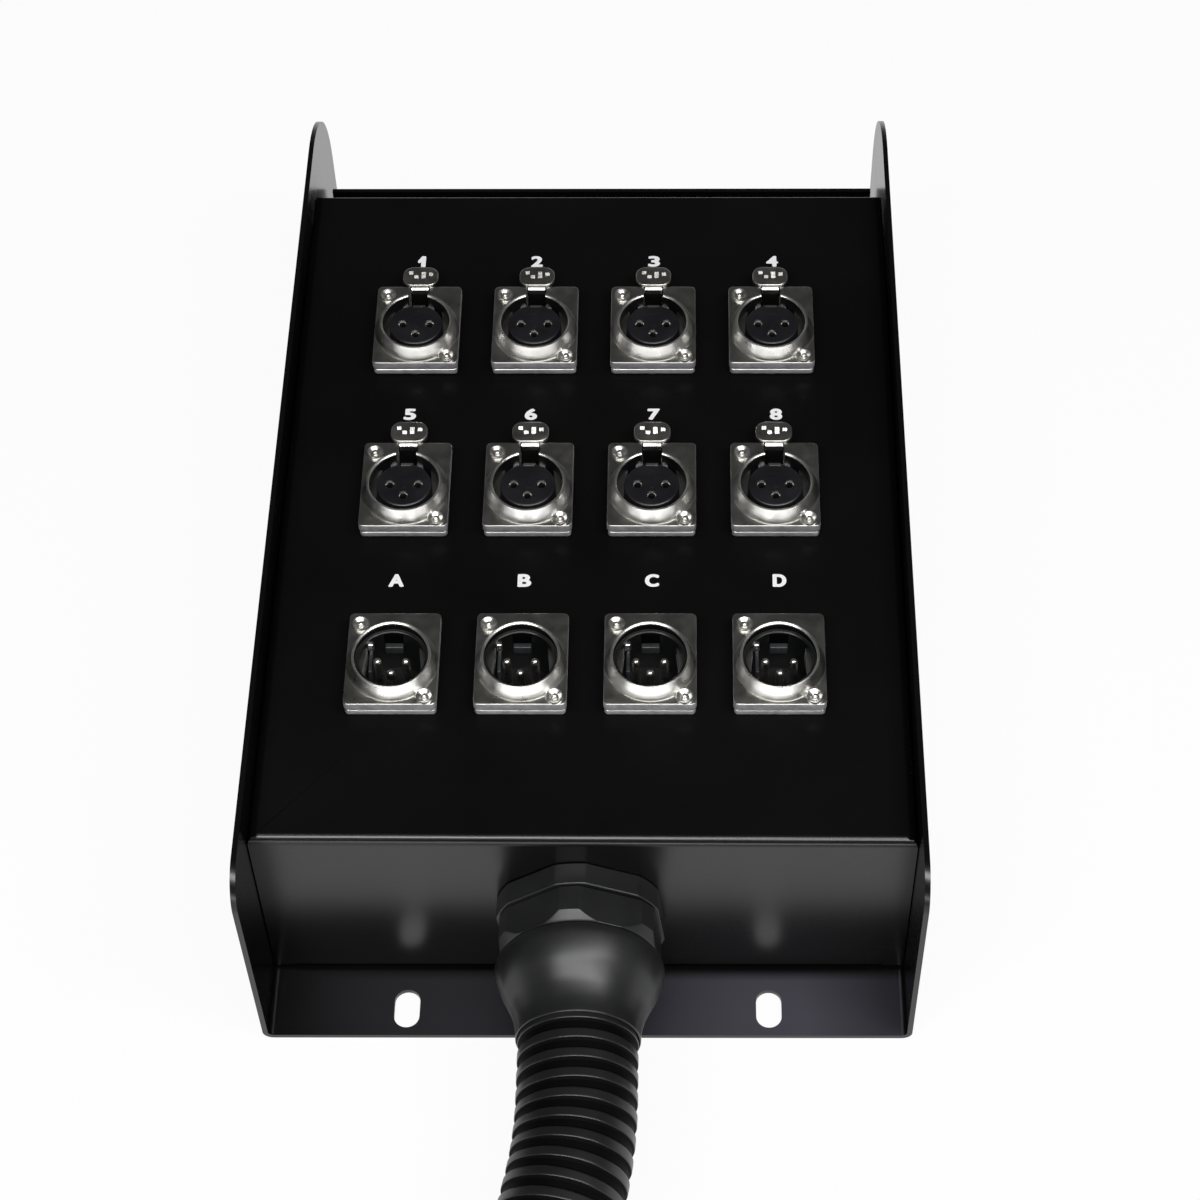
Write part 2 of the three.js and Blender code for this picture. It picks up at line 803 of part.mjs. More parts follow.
// One closed skin from rings of points, each ring joined to the next
function skin(rings, closedLoop) {
  const sides = rings[0].length;
  const positions = rings.flat().flatMap((p) => [p.x, p.y, p.z]);
  const index = [];
  const last = closedLoop ? rings.length : rings.length - 1;
  for (let r = 0; r < last; r++) {
    const next = (r + 1) % rings.length;
    for (let i = 0; i < sides; i++) {
      const j = (i + 1) % sides;
      const [a, b] = [r * sides + i, r * sides + j];
      const [c, d] = [next * sides + i, next * sides + j];
      index.push(a, c, b, b, c, d);
    }
  }
  if (!closedLoop) {
    const end = (rings.length - 1) * sides;
    for (let i = 1; i < sides - 1; i++) {
      index.push(0, i, i + 1);
      index.push(end, end + i + 1, end + i);
    }
  }
  const geometry = new THREE.BufferGeometry();
  geometry.setAttribute("position", new THREE.Float32BufferAttribute(positions, 3));
  geometry.setIndex(index);
  const solid = solidOf(geometry);
  if (solid.volume() > 0) return solid;
  for (let i = 0; i < index.length; i += 3) [index[i], index[i + 1]] = [index[i + 1], index[i]];
  geometry.setIndex(index);
  return solidOf(geometry);
}

function tube(points, radius, sides, endHeadings) {
  const frames = framesAlong(points, endHeadings);
  return skin(frames.map((frame) => ringPoints(frame, radius, sides)), false);
}

// The hose's route: straight out, a slight turn to the left, then down to its sleeve
function hoseRoute() {
  const start = new THREE.Vector3(gland.sideOffset, coverFront - hoseStart, gland.height);
  const path = pathFrom(start, new THREE.Vector3(0, -1, 0));
  const steps = 8;
  const left = new THREE.Vector3(-1, 0, 0);
  runStraight(path, 2 * hose.radius, steps);
  runArc(path, hose.bendRadius, hose.turn, left, steps);
  const used = 2 * hose.radius + hose.bendRadius * hose.turn;
  if (hose.straightLength > used) runStraight(path, hose.straightLength - used, steps);
  runDrop(path, hose.bendRadius, gland.height - sleeve.radius - sleeve.rest, 2 * steps);
  const whole = hose.ribs * hose.ribPitch;
  runStraight(path, whole - lengthOf(path.points), steps);
  return path;
}

function makeHose(path) {
  const points = respaced(path.points, 2 * hose.ribs);
  const headings = [new THREE.Vector3(0, -1, 0), path.heading];
  const frames = framesAlong(points, headings);
  const outside = frames.map((frame, i) => {
    return ringPoints(frame, i % 2 ? hose.radius : hose.valleyRadius, hose.sides);
  });
  const inside = frames
    .filter((_, i) => i % (2 * hose.boreEvery) === 0 || i === frames.length - 1)
    .map((frame) => ringPoints(frame, hose.boreRadius, hose.sides))
    .reverse();
  return skin([...outside, ...inside], true);
}

// The sleeve that ends the hose, in the frame of the hose's last point
function makeSleeve() {
  const bore = hose.radius + hose.socketClearance;
  const end = seatGap + sleeve.wall;
  const nose = end + sleeve.taperLength;
  return turned([
    [bore, -sleeve.overlap],
    [sleeve.radius, -sleeve.overlap],
    [sleeve.radius, end],
    [sleeve.noseRadius, nose],
    [cable.radius + seatGap, nose],
    [cable.radius + seatGap, seatGap],
    [bore, seatGap],
  ]);
}

// Lays a piece made along +Z at a point, facing along a heading
function layAlong(solid, at, heading) {
  const geometry = geometryOf(solid);
  const turn = new THREE.Quaternion();
  turn.setFromUnitVectors(new THREE.Vector3(0, 0, 1), heading.clone().normalize());
  geometry.applyQuaternion(turn);
  geometry.translate(at.x, at.y, at.z);
  return geometry;
}

// The cable's route from the sleeve to the first turn
function leadRoute(hosePath) {
  const start = hosePath.at.clone().addScaledVector(hosePath.heading, 2 * seatGap);
  const path = pathFrom(start, hosePath.heading);
  const steps = 8;
  runStraight(path, sleeve.wall + sleeve.taperLength + cable.radius, steps);
  runDrop(path, cable.leadBendRadius, start.z - cableFloor, steps);
  runStraight(path, cable.leadStraight, steps);
  return path;
}

// Height and radius of the wound turns, by turns wound so far
function coilRadius(turn) {
  const layer = Math.min(Math.floor(turn / layerTurns), coil.layers - 1);
  const wound = turn - layer * layerTurns;
  return layer % 2 ? coilInnerRadius + wound * turnPitch : coil.outerRadius - wound * turnPitch;
}

function coilHeight(turn) {
  let height = cableFloor;
  for (let layer = 1; layer < coil.layers; layer++) {
    const from = layer * layerTurns - coil.climbShare;
    const share = THREE.MathUtils.smoothstep(turn, from, from + 2 * coil.climbShare);
    height += share * turnPitch;
  }
  return height;
}

// The wound turns, between one straight diameter at each end
function coilRoute(leadPath) {
  const heading = leadPath.heading;
  const inward = new THREE.Vector3(-heading.y, heading.x, 0);
  const start = leadPath.at.clone().addScaledVector(heading, seatGap);
  const first = start.clone().addScaledVector(heading, 2 * cable.radius);
  const centre = first.clone().addScaledVector(inward, coil.outerRadius);
  const steps = Math.round(coil.turns * coil.stepsPerTurn);
  const wound = [];
  for (let i = 0; i <= steps; i++) {
    const turn = (coil.turns * i) / steps;
    const angle = 2 * Math.PI * turn;
    const point = centre.clone();
    point.addScaledVector(inward, -coilRadius(turn) * Math.cos(angle));
    point.addScaledVector(heading, coilRadius(turn) * Math.sin(angle));
    point.z = coilHeight(turn);
    wound.push(point);
  }
  const lastAngle = 2 * Math.PI * coil.turns;
  const leaving = heading.clone().multiplyScalar(Math.cos(lastAngle));
  leaving.addScaledVector(inward, Math.sin(lastAngle));
  const end = wound[wound.length - 1].clone().addScaledVector(leaving, 2 * cable.radius);
  return { start, points: [start, ...wound, end], centre, heading, leaving, end };
}

// The least gap between turns, on the points of the route
function leastGap(points, diameter) {
  let least = Infinity;
  for (let i = 0; i < points.length; i++) {
    for (let j = i + coil.stepsPerTurn / 2; j < points.length; j++) {
      for (const share of [0, 0.25, 0.5, 0.75]) {
        const near = points[j].clone().lerp(points[Math.min(j + 1, points.length - 1)], share);
        least = Math.min(least, points[i].distanceTo(near) - diameter);
      }
    }
  }
  return least;
}

// A strap round all the turns, on the radius at an angle
function makeTie(route, degrees) {
  const innerWidth = coil.outerRadius - coilInnerRadius + 2 * cable.radius + 2 * tie.slack;
  const innerHeight = (coil.layers - 1) * turnPitch + 2 * cable.radius + 2 * tie.slack;
  const [w, h] = [innerWidth + 2 * tie.thickness, innerHeight + 2 * tie.thickness];
  const band = roundedPlate(w, h, tie.cornerRadius + tie.thickness, 0, tie.width);
  const hole = roundedPlate(innerWidth, innerHeight, tie.cornerRadius, -overrun, tie.width + overrun);
  const geometry = geometryOf(band.subtract(hole));
  geometry.translate(0, 0, -tie.width / 2);
  geometry.rotateX(Math.PI / 2);
  const middle = (coil.outerRadius + coilInnerRadius) / 2;
  geometry.translate(middle, 0, 0);
  geometry.rotateZ((degrees * Math.PI) / 180);
  const height = cableFloor + ((coil.layers - 1) * turnPitch) / 2;
  geometry.translate(route.centre.x, route.centre.y, height);
  return geometry;
}

// The cable's route from the last turn down to its connector
function tailRoute(route) {
  const start = route.end.clone().addScaledVector(route.leaving, seatGap);
  const path = pathFrom(start, route.leaving);
  const steps = 6;
  runStraight(path, multipin.tailStraight - 2 * cable.radius, steps);
  runDrop(path, multipin.tailBendRadius, start.z - multipin.radius - sleeve.rest, 2 * steps);
  runStraight(path, multipin.tailRun, steps);
  return path;
}

// The cable's connector, in the frame of the cable's last point
function makeMultipinBody() {
  const bore = cable.radius + seatGap;
  const deep = -multipin.socketDepth;
  const grip = multipin.bootLength + multipin.gripLength;
  const end = grip + multipin.barrelLength;
  const floor = end - multipin.mouthDepth;
  return turned([
    [bore, deep],
    [multipin.bootRadius, deep],
    [multipin.bootRadius, 0],
    [multipin.gripRadius, multipin.bootLength],
    [multipin.gripRadius, grip],
    [multipin.radius, grip + multipin.radius - multipin.gripRadius],
    [multipin.radius, end],
    [multipin.mouthRadius, end],
    [multipin.mouthRadius, floor],
    [0, floor],
    [0, seatGap],
    [bore, seatGap],
  ]);
}

function makeMultipinInsert() {
  const end = multipin.bootLength + multipin.gripLength + multipin.barrelLength;
  const floor = end - multipin.mouthDepth + seatGap;
  return turned([
    [0, floor],
    [multipin.mouthRadius - seatGap, floor],
    [multipin.mouthRadius - seatGap, floor + multipin.insertFoot],
    [multipin.insertRadius, floor + multipin.insertFoot],
    [multipin.insertRadius, end - multipin.faceSetback],
    [0, end - multipin.faceSetback],
  ]);
}

// The whole part
const stageBox = new THREE.Group();
stageBox.name = "stage_box_snake";
stageBox.add(meshOf("base_tray", makeTray(), looks.steel));
stageBox.add(meshOf("top_cover", makeCover(), looks.steel));

const socketShell = geometryOf(makeSocketShell());
const socketInsert = geometryOf(makeSocketInsert());
const plugShell = geometryOf(makePlugShell());
const plugInsert = geometryOf(makePlugInsert());
const pushTab = geometryOf(makeLatch());
for (let row = 0; row < 3; row++) {
  for (let column = 0; column < grid.columnShares.length; column++) {
    const place = new THREE.Group();
    place.position.set(columnPlace(column), rowPlace(row), cover.top);
    const count = row * grid.columnShares.length + column + 1;
    if (row < 2) {
      place.add(meshOf("socket_shell_" + count, socketShell.clone(), looks.nickel));
      place.add(meshOf("socket_insert_" + count, socketInsert.clone(), looks.plastic));
      place.add(meshOf("push_tab_" + count, pushTab.clone(), looks.tab));
    } else {
      const letter = "ABCD"[column];
      place.add(meshOf("plug_shell_" + letter, plugShell.clone(), looks.nickel));
      place.add(meshOf("plug_insert_" + letter, plugInsert.clone(), looks.plastic));
    }
    stageBox.add(place);
  }
}

const innerNutPlace = -cover.sheet - seatGap - gland.innerNutLength;
stageBox.add(meshOf("gland_inner_nut", glandGeometry(makeInnerNut(), innerNutPlace), looks.gland));
stageBox.add(meshOf("gland_lock_nut", glandGeometry(makeLockNut(), lockNutStart), looks.gland));
stageBox.add(meshOf("gland_body", glandGeometry(makeGlandBody(), 0), looks.gland));
stageBox.add(meshOf("gland_dome", glandGeometry(makeDome(), 0), looks.gland));

const hosePath = hoseRoute();
const leadPath = leadRoute(hosePath);
const wound = coilRoute(leadPath);
const tailPath = tailRoute(wound);
stageBox.add(meshOf("hose", makeHose(hosePath), looks.hose));
stageBox.add(meshOf("hose_sleeve", layAlong(makeSleeve(), hosePath.at, hosePath.heading), looks.gland));
const leadSteps = Math.round(lengthOf(leadPath.points) / cable.stepLength);
const leadPoints = respaced(leadPath.points, leadSteps);
const leadEnds = [hosePath.heading, leadPath.heading];
stageBox.add(meshOf("cable_lead", tube(leadPoints, cable.radius, cable.sides, leadEnds), looks.cable));
const coilEnds = [wound.heading, wound.leaving];
stageBox.add(meshOf("cable_coil", tube(wound.points, cable.radius, coil.sides, coilEnds), looks.cable));
const tailSteps = Math.round(lengthOf(tailPath.points) / cable.stepLength);
const tailPoints = respaced(tailPath.points, tailSteps);
const tailEnds = [wound.leaving, tailPath.heading];
stageBox.add(meshOf("cable_tail", tube(tailPoints, cable.radius, cable.sides, tailEnds), looks.cable));
tie.angles.forEach((degrees, i) => {
  stageBox.add(meshOf("cable_tie_" + (i + 1), makeTie(wound, degrees), looks.strap));
});
const multipinBody = layAlong(makeMultipinBody(), tailPath.at, tailPath.heading);
const multipinInsert = layAlong(makeMultipinInsert(), tailPath.at, tailPath.heading);
stageBox.add(meshOf("multipin_body", multipinBody, looks.nickel));
stageBox.add(meshOf("multipin_insert", multipinInsert, looks.plastic));

console.log("least gap between the turns:", leastGap(wound.points, 2 * cable.radius).toFixed(2), "mm");
console.log(
  "lengths: hose",
  lengthOf(hosePath.points).toFixed(1),
  "lead",
  lengthOf(leadPath.points).toFixed(1),
  "coil",
  lengthOf(wound.points).toFixed(1),
  "tail",
  lengthOf(tailPath.points).toFixed(1),
);

export default stageBox;
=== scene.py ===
import json
import math

import bmesh
import bpy
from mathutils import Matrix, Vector

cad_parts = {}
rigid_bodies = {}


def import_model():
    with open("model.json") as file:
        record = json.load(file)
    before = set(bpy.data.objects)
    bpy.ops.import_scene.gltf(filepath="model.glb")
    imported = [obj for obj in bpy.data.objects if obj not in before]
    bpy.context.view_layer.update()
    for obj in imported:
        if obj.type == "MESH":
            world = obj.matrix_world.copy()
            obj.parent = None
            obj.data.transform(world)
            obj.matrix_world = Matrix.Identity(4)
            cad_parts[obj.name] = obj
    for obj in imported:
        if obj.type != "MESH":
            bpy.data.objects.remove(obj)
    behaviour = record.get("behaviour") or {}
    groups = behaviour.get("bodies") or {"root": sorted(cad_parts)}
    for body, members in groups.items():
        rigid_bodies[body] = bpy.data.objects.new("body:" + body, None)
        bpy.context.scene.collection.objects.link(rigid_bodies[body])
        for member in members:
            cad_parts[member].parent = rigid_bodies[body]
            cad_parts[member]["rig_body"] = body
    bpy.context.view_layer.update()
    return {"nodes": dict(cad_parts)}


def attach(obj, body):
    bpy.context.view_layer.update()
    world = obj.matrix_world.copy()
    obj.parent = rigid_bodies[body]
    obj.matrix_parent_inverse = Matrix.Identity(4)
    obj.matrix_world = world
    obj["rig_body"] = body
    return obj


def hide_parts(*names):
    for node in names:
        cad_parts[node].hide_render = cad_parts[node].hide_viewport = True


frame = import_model()

MM = 0.001
BOX = "box"

# ---------------------------------------- sizes
# As in the source of the solids, so that what is drawn anew lies where they lie.
TRAY_TOP = 1.8
COVER_FRONT = -135.1
COVER_TOP = 68.5
COLUMNS = (-54.3, -18.1, 18.1, 54.3)
ROWS = (50.1, -13.9, -77.9)
SEAT = 0.3
SET_FORWARD = 2.5
FLANGE_TOP = 5.6
COLLAR_TOP = 9.8

GLAND_X = -1.2
GLAND_Z = 34.0
LOCK_START = 0.3
BODY_START = 7.0
NECK_START = 17.3
NECK_END = 27.2
DOME_START = 17.6
DOME_END = 42.5
HOSE_START = 27.5
HEX_TURN = -24.0

HOSE_RADIUS = 16.5
HOSE_VALLEY = 15.7
RIB_PITCH = 5.9
RIBS = 35
HOSE_STRAIGHT = 80.0
HOSE_BEND = 140.0
HOSE_TURN = 0.2
HOSE_BORE = 16.8
SLEEVE_RADIUS = 18.6
SLEEVE_OVERLAP = 14.0
SLEEVE_WALL = 4.0
SLEEVE_TAPER = 9.0
SLEEVE_NOSE = 11.0
SLEEVE_REST = 0.1

CABLE_RADIUS = 8.0
CABLE_FLOOR = 9.5
LEAD_BEND = 72.0
LEAD_STRAIGHT = 12.0
COIL_RADIUS = 127.5
COIL_TURNS = 7.54
COIL_LAYERS = 2
TURN_GAP = 0.5
CLIMB_SHARE = 0.25
TIE_ANGLES = (70, 250)

PIN_RADIUS = 15.0
TAIL_STRAIGHT = 38.0
TAIL_BEND = 82.0
TAIL_RUN = 24.0


# ---------------------------------------- materials
IOR = 1.5
FINE_DEPTH = 0.00004
COAT_COLOR = (0.002, 0.002, 0.0022)
COAT_DARK = (0.0016, 0.0016, 0.0017)
COAT_LIGHT = (0.0024, 0.0024, 0.0026)

# Where the paler coat lies, in metres, partly dust and partly painted light: up to a height,
# and forward of a line, leaving a painted shade along the foot of the front face; lighter
# towards the right as painted light, and less so again at the right end.
DUST_AND_PAINTED_LIGHT_COLOR = (0.049, 0.047, 0.060)
DUST_AND_PAINTED_LIGHT_HEIGHT = (0.0018, 0.0026)
PAINTED_SHADE_FRONT = (-0.1395, -0.1365)
PAINTED_LIGHT_RISE = (-0.085, 0.062)
PAINTED_LIGHT_FALL = (0.062, 0.085)
PAINTED_LIGHT_END_SHARE = 0.5
FACING_UP = (0.8, 0.98)


def new_material(name, color, roughness, metallic=0.0, specular=0.5):
    mat = bpy.data.materials.new(name)
    mat.use_nodes = True
    shader = mat.node_tree.nodes["Principled BSDF"]
    shader.inputs["Base Color"].default_value = (*color, 1)
    shader.inputs["Roughness"].default_value = roughness
    shader.inputs["Metallic"].default_value = metallic
    shader.inputs["Specular IOR Level"].default_value = specular
    shader.inputs["IOR"].default_value = IOR
    return mat, mat.node_tree, shader


def split_vector(tree, node, output):
    """The X, Y and Z of a new node's output."""
    source = tree.nodes.new(node)
    parts = tree.nodes.new("ShaderNodeSeparateXYZ")
    tree.links.new(source.outputs[output], parts.inputs[0])
    return parts.outputs


def combine(tree, operation, first, second):
    """A Math node of two inputs, of which the second may be a number."""
    node = tree.nodes.new("ShaderNodeMath")
    node.operation = operation
    tree.links.new(first, node.inputs[0])
    if isinstance(second, float):
        node.inputs[1].default_value = second
    else:
        tree.links.new(second, node.inputs[1])
    return node.outputs[0]


def place_noise(tree, scale, detail, roughness=0.55, stretch=None):
    source = tree.nodes.new("ShaderNodeTexCoord").outputs["Object"]
    if stretch:
        mapping = tree.nodes.new("ShaderNodeMapping")
        mapping.inputs["Scale"].default_value = stretch
        tree.links.new(source, mapping.inputs["Vector"])
        source = mapping.outputs["Vector"]
    noise = tree.nodes.new("ShaderNodeTexNoise")
    noise.inputs["Scale"].default_value = scale
    noise.inputs["Detail"].default_value = detail
    noise.inputs["Roughness"].default_value = roughness
    tree.links.new(source, noise.inputs["Vector"])
    return noise.outputs["Fac"]


def spread(tree, value, low, high, start=0.3, end=0.7):
    node = tree.nodes.new("ShaderNodeMapRange")
    node.inputs["From Min"].default_value = start
    node.inputs["From Max"].default_value = end
    node.inputs["To Min"].default_value = low
    node.inputs["To Max"].default_value = high
    tree.links.new(value, node.inputs["Value"])
    return node.outputs["Result"]


def color_ramp(tree, value, dark, light, start=0.35, end=0.7):
    ramp = tree.nodes.new("ShaderNodeValToRGB")
    ramp.color_ramp.elements[0].color = (*dark, 1)
    ramp.color_ramp.elements[1].color = (*light, 1)
    ramp.color_ramp.elements[0].position = start
    ramp.color_ramp.elements[1].position = end
    tree.links.new(value, ramp.inputs["Fac"])
    return ramp.outputs["Color"]


def add_bump(tree, shader, value, strength, distance):
    bump = tree.nodes.new("ShaderNodeBump")
    bump.inputs["Strength"].default_value = strength
    bump.inputs["Distance"].default_value = distance
    tree.links.new(value, bump.inputs["Height"])
    tree.links.new(bump.outputs["Normal"], shader.inputs["Normal"])


def make_steel(name, shade, rough, specular):
    """Satin black powder coat, with a paler coat of dust and painted light on what faces up in front of
    the cover.
    """
    dark, light = ([shade * part for part in color] for color in (COAT_DARK, COAT_LIGHT))
    mat, tree, shader = new_material(name, COAT_COLOR, rough[0], specular=specular)
    wide = place_noise(tree, scale=14.0, detail=4.0)
    fine = place_noise(tree, scale=1500.0, detail=2.0)

    place = split_vector(tree, "ShaderNodeTexCoord", "Object")
    facing = split_vector(tree, "ShaderNodeNewGeometry", "Normal")
    low = spread(tree, place["Z"], 1.0, 0.0, *DUST_AND_PAINTED_LIGHT_HEIGHT)
    upward = spread(tree, facing["Z"], 0.0, 1.0, *FACING_UP)
    # The paler coat stops short of the front face, leaving a painted shade along its foot, and grows
    # towards the right as painted light.
    outside = spread(tree, place["Y"], 1.0, 0.0, *PAINTED_SHADE_FRONT)
    rise = spread(tree, place["X"], 0.0, 1.0, *PAINTED_LIGHT_RISE)
    fall = spread(tree, place["X"], 1.0, PAINTED_LIGHT_END_SHARE, *PAINTED_LIGHT_FALL)
    level = combine(tree, "MULTIPLY", low, upward)
    across = combine(tree, "MULTIPLY", combine(tree, "MULTIPLY", rise, fall), outside)

    coat = tree.nodes.new("ShaderNodeMix")
    coat.data_type = "RGBA"
    tree.links.new(combine(tree, "MULTIPLY", level, across), coat.inputs["Factor"])
    tree.links.new(color_ramp(tree, wide, dark, light), coat.inputs["A"])
    coat.inputs["B"].default_value = (*DUST_AND_PAINTED_LIGHT_COLOR, 1)
    tree.links.new(coat.outputs["Result"], shader.inputs["Base Color"])
    tree.links.new(spread(tree, wide, *rough), shader.inputs["Roughness"])
    add_bump(tree, shader, fine, strength=0.12, distance=0.00002)
    return mat


def add_finish(tree, shader, dark, light, rough, scales, bump):
    """Colour and roughness drift with a wide noise, under a fine bump."""
    wide = place_noise(tree, scales[0], detail=4.0)
    fine = place_noise(tree, scales[1], detail=3.0)
    tree.links.new(color_ramp(tree, wide, dark, light), shader.inputs["Base Color"])
    tree.links.new(spread(tree, wide, *rough), shader.inputs["Roughness"])
    add_bump(tree, shader, fine, *bump)


def make_nickel(name, dark, light, rough):
    mat, tree, shader = new_material(name, light, rough[0], metallic=1.0)
    add_finish(tree, shader, dark, light, rough, (260.0, 2600.0), (0.22, FINE_DEPTH))
    return mat


def make_plastic(name, dark, light, rough, scale=120.0, bump=0.15, specular=0.5):
    mat, tree, shader = new_material(name, light, rough[0], specular=specular)
    add_finish(tree, shader, dark, light, rough, (scale, 3200.0), (bump, FINE_DEPTH))
    return mat


def make_cast_edge():
    """The plain sides of a cast flange, duller than its plated top."""
    mat, tree, shader = new_material("cast_edge", (0.2, 0.2, 0.2), 0.6, specular=0.1)
    dark, light = (0.18, 0.176, 0.186), (0.27, 0.265, 0.277)
    add_finish(tree, shader, dark, light, (0.55, 0.70), (420.0, 2400.0), (0.3, 0.00005))
    return mat


def make_strap():
    mat, tree, shader = new_material("hook_and_loop", (0.02, 0.02, 0.022), 0.95)
    shader.inputs["Sheen Weight"].default_value = 0.35
    weave = place_noise(tree, scale=1800.0, detail=2.0, roughness=0.6, stretch=(1.0, 1.0, 0.25))
    color = color_ramp(tree, weave, (0.014, 0.014, 0.015), (0.032, 0.032, 0.034))
    tree.links.new(color, shader.inputs["Base Color"])
    add_bump(tree, shader, weave, strength=0.6, distance=0.0003)
    return mat


# The box: its coat, and a duller one on the panel and on the ledge in front of the cover, where the
# paler coat of dust and painted light shows
STEEL = make_steel("powder_coat", 0.8, (0.25, 0.29), specular=0.5)
PANEL = make_steel("panel_coat", 1.35, (0.32, 0.38), specular=0.2)
LEDGE = make_steel("ledge_coat", 0.8, (0.32, 0.38), specular=0.2)

# The connectors' metal
NICKEL = make_nickel("nickel", (0.42, 0.415, 0.385), (0.52, 0.515, 0.48), (0.27, 0.35))
# A brighter copy of the same nickel, as painted highlight: on the collars, the lower flange plates, the
# rivets and the latch strip's bend and wedges.
NICKEL_PAINTED_HIGHLIGHT = make_nickel("nickel_painted_highlight", (0.66, 0.65, 0.62), (0.78, 0.77, 0.74), (0.26, 0.36))
CONTACT = make_nickel("contact", (0.72, 0.70, 0.66), (0.84, 0.82, 0.78), (0.24, 0.34))
TAB = make_nickel("tab_nickel", (0.42, 0.415, 0.38), (0.58, 0.57, 0.54), (0.27, 0.36))
EDGE = make_cast_edge()

# The connectors' plastic
INSERT = make_plastic("insert_plastic", (0.006, 0.006, 0.0075), (0.010, 0.010, 0.012), (0.34, 0.44))
DEEP = make_plastic("cup_plastic", (0.003, 0.0035, 0.0035), (0.006, 0.0065, 0.0065), (0.30, 0.42))
RIM = make_plastic("cup_rim", (0.020, 0.021, 0.022), (0.030, 0.031, 0.033), (0.34, 0.44))
# Near black, put where there is only shade: painted shade at the bottom of the contact holes, on the
# flat of the latch strip and on the plug's key strip.
PAINTED_SHADE_BLACK = make_plastic(
    "painted_shade_black", (0.0006, 0.0006, 0.0006), (0.0009, 0.0009, 0.0009), (0.7, 0.8),
    bump=0.1, specular=0.05,
)
MARK = make_plastic(
    "mark_ink", (0.84, 0.84, 0.85), (0.90, 0.90, 0.91), (0.45, 0.6), scale=300.0, bump=0.08,
)

# The gland, hose and cable
GLAND = make_plastic(
    "gland_plastic", (0.0085, 0.0088, 0.0090), (0.0125, 0.0128, 0.0130), (0.33, 0.40), scale=60.0,
)
HOSE = make_plastic(
    "hose_plastic", (0.0066, 0.0066, 0.0070), (0.0106, 0.0106, 0.0111), (0.32, 0.42), scale=40.0,
)
# Near black and dull, on the hose's grooves as painted shade.
GROOVE_PAINTED_SHADE = make_plastic(
    "hose_groove_painted_shade", (0.0008, 0.0008, 0.0009), (0.0014, 0.0014, 0.0015), (0.60, 0.70),
    scale=40.0, specular=0.07,
)
CABLE = make_plastic(
    "cable_jacket", (0.012, 0.012, 0.013), (0.020, 0.020, 0.021), (0.5, 0.62), scale=50.0,
)
STRAP = make_strap()


# ---------------------------------------- meshes
ROUND_SIDES = 72
BEVEL_STEPS = 3
LEAST_RADIUS = 0.05
LEAST_CORNER = 0.06
SOFT_ANGLE = 35
FLAT_SHARE = 0.9995
UP_SHARE = 0.999
LEVEL_REACH = 0.6
WELD = 1e-6
CUT_NEAR = 1e-7


def build(name, parts, material, body=BOX, place=(0, 0, 0), smooth=32):
    """One object from parts in millimetres, moved to its place. A part is (points, faces), or
    (points, faces, finish) with any further faces and finishes of the same points."""
    mesh = bpy.data.meshes.new(name)
    verts, faces, slots = [], [], []
    materials = []
    for part in parts:
        points, rest = part[0], list(part[1:])
        if len(rest) == 1:
            rest.append(material)
        base = len(verts)
        verts += [tuple((value + shift) * MM for value, shift in zip(point, place)) for point in points]
        for polygons, finish in zip(rest[0::2], rest[1::2]):
            if finish not in materials:
                materials.append(finish)
            faces += [[base + i for i in face] for face in polygons]
            slots += [materials.index(finish)] * len(polygons)
    mesh.from_pydata(verts, [], faces)
    for finish in materials:
        mesh.materials.append(finish)
    for face, index in zip(mesh.polygons, slots):
        face.material_index = index
    tidy_normals(mesh)
    mesh.shade_smooth()
    mesh.set_sharp_from_angle(angle=math.radians(smooth))
    obj = bpy.data.objects.new(name, mesh)
    bpy.context.scene.collection.objects.link(obj)
    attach(obj, body)
    return obj


def tidy_normals(mesh):
    work = bmesh.new()
    work.from_mesh(mesh)
    bmesh.ops.recalc_face_normals(work, faces=work.faces)
    work.to_mesh(mesh)
    work.free()


def skin(rings, closed=False, caps=True):
    """Faces between rings of equally many points; closed joins the last ring to the first."""
    count = len(rings[0])
    points = [point for ring in rings for point in ring]
    faces = []
    last = len(rings) if closed else len(rings) - 1
    for r in range(last):
        a, b = r * count, ((r + 1) % len(rings)) * count
        for i in range(count):
            j = (i + 1) % count
            faces.append([a + i, a + j, b + j, b + i])
    if caps and not closed:
        faces.append(list(range(count))[::-1])
        end = (len(rings) - 1) * count
        faces.append([end + i for i in range(count)])
    return points, faces


def circle(radius, z, cx=0.0, cy=0.0, count=ROUND_SIDES):
    angles = [2 * math.pi * i / count for i in range(count)]
    return [(cx + radius * math.cos(a), cy + radius * math.sin(a), z) for a in angles]


def turned(profile, cx=0.0, cy=0.0, count=ROUND_SIDES, closed=False):
    """A turned shape from (radius, height) pairs, capped flat unless it closes on itself."""
    return skin([circle(r, z, cx, cy, count) for r, z in profile], closed)


def rounded_outline(width, depth, radius, steps=6):
    w, d = width / 2 - radius, depth / 2 - radius
    points = []
    for cx, cy, start in ((w, d, 0), (-w, d, 90), (-w, -d, 180), (w, -d, 270)):
        for i in range(steps + 1):
            a = math.radians(start + 90 * i / steps)
            points.append((cx + radius * math.cos(a), cy + radius * math.sin(a)))
    return points


def bevel_steps(z0, z1, bevel):
    """(inset, height) pairs of an edge rounded at both ends."""
    turns = [math.pi / 2 * i / BEVEL_STEPS for i in range(BEVEL_STEPS + 1)]
    low = [(bevel * (1 - math.sin(a)), z0 + bevel * (1 - math.cos(a))) for a in turns]
    high = [(bevel * (1 - math.cos(a)), z1 - bevel * (1 - math.sin(a))) for a in turns]
    return low + high


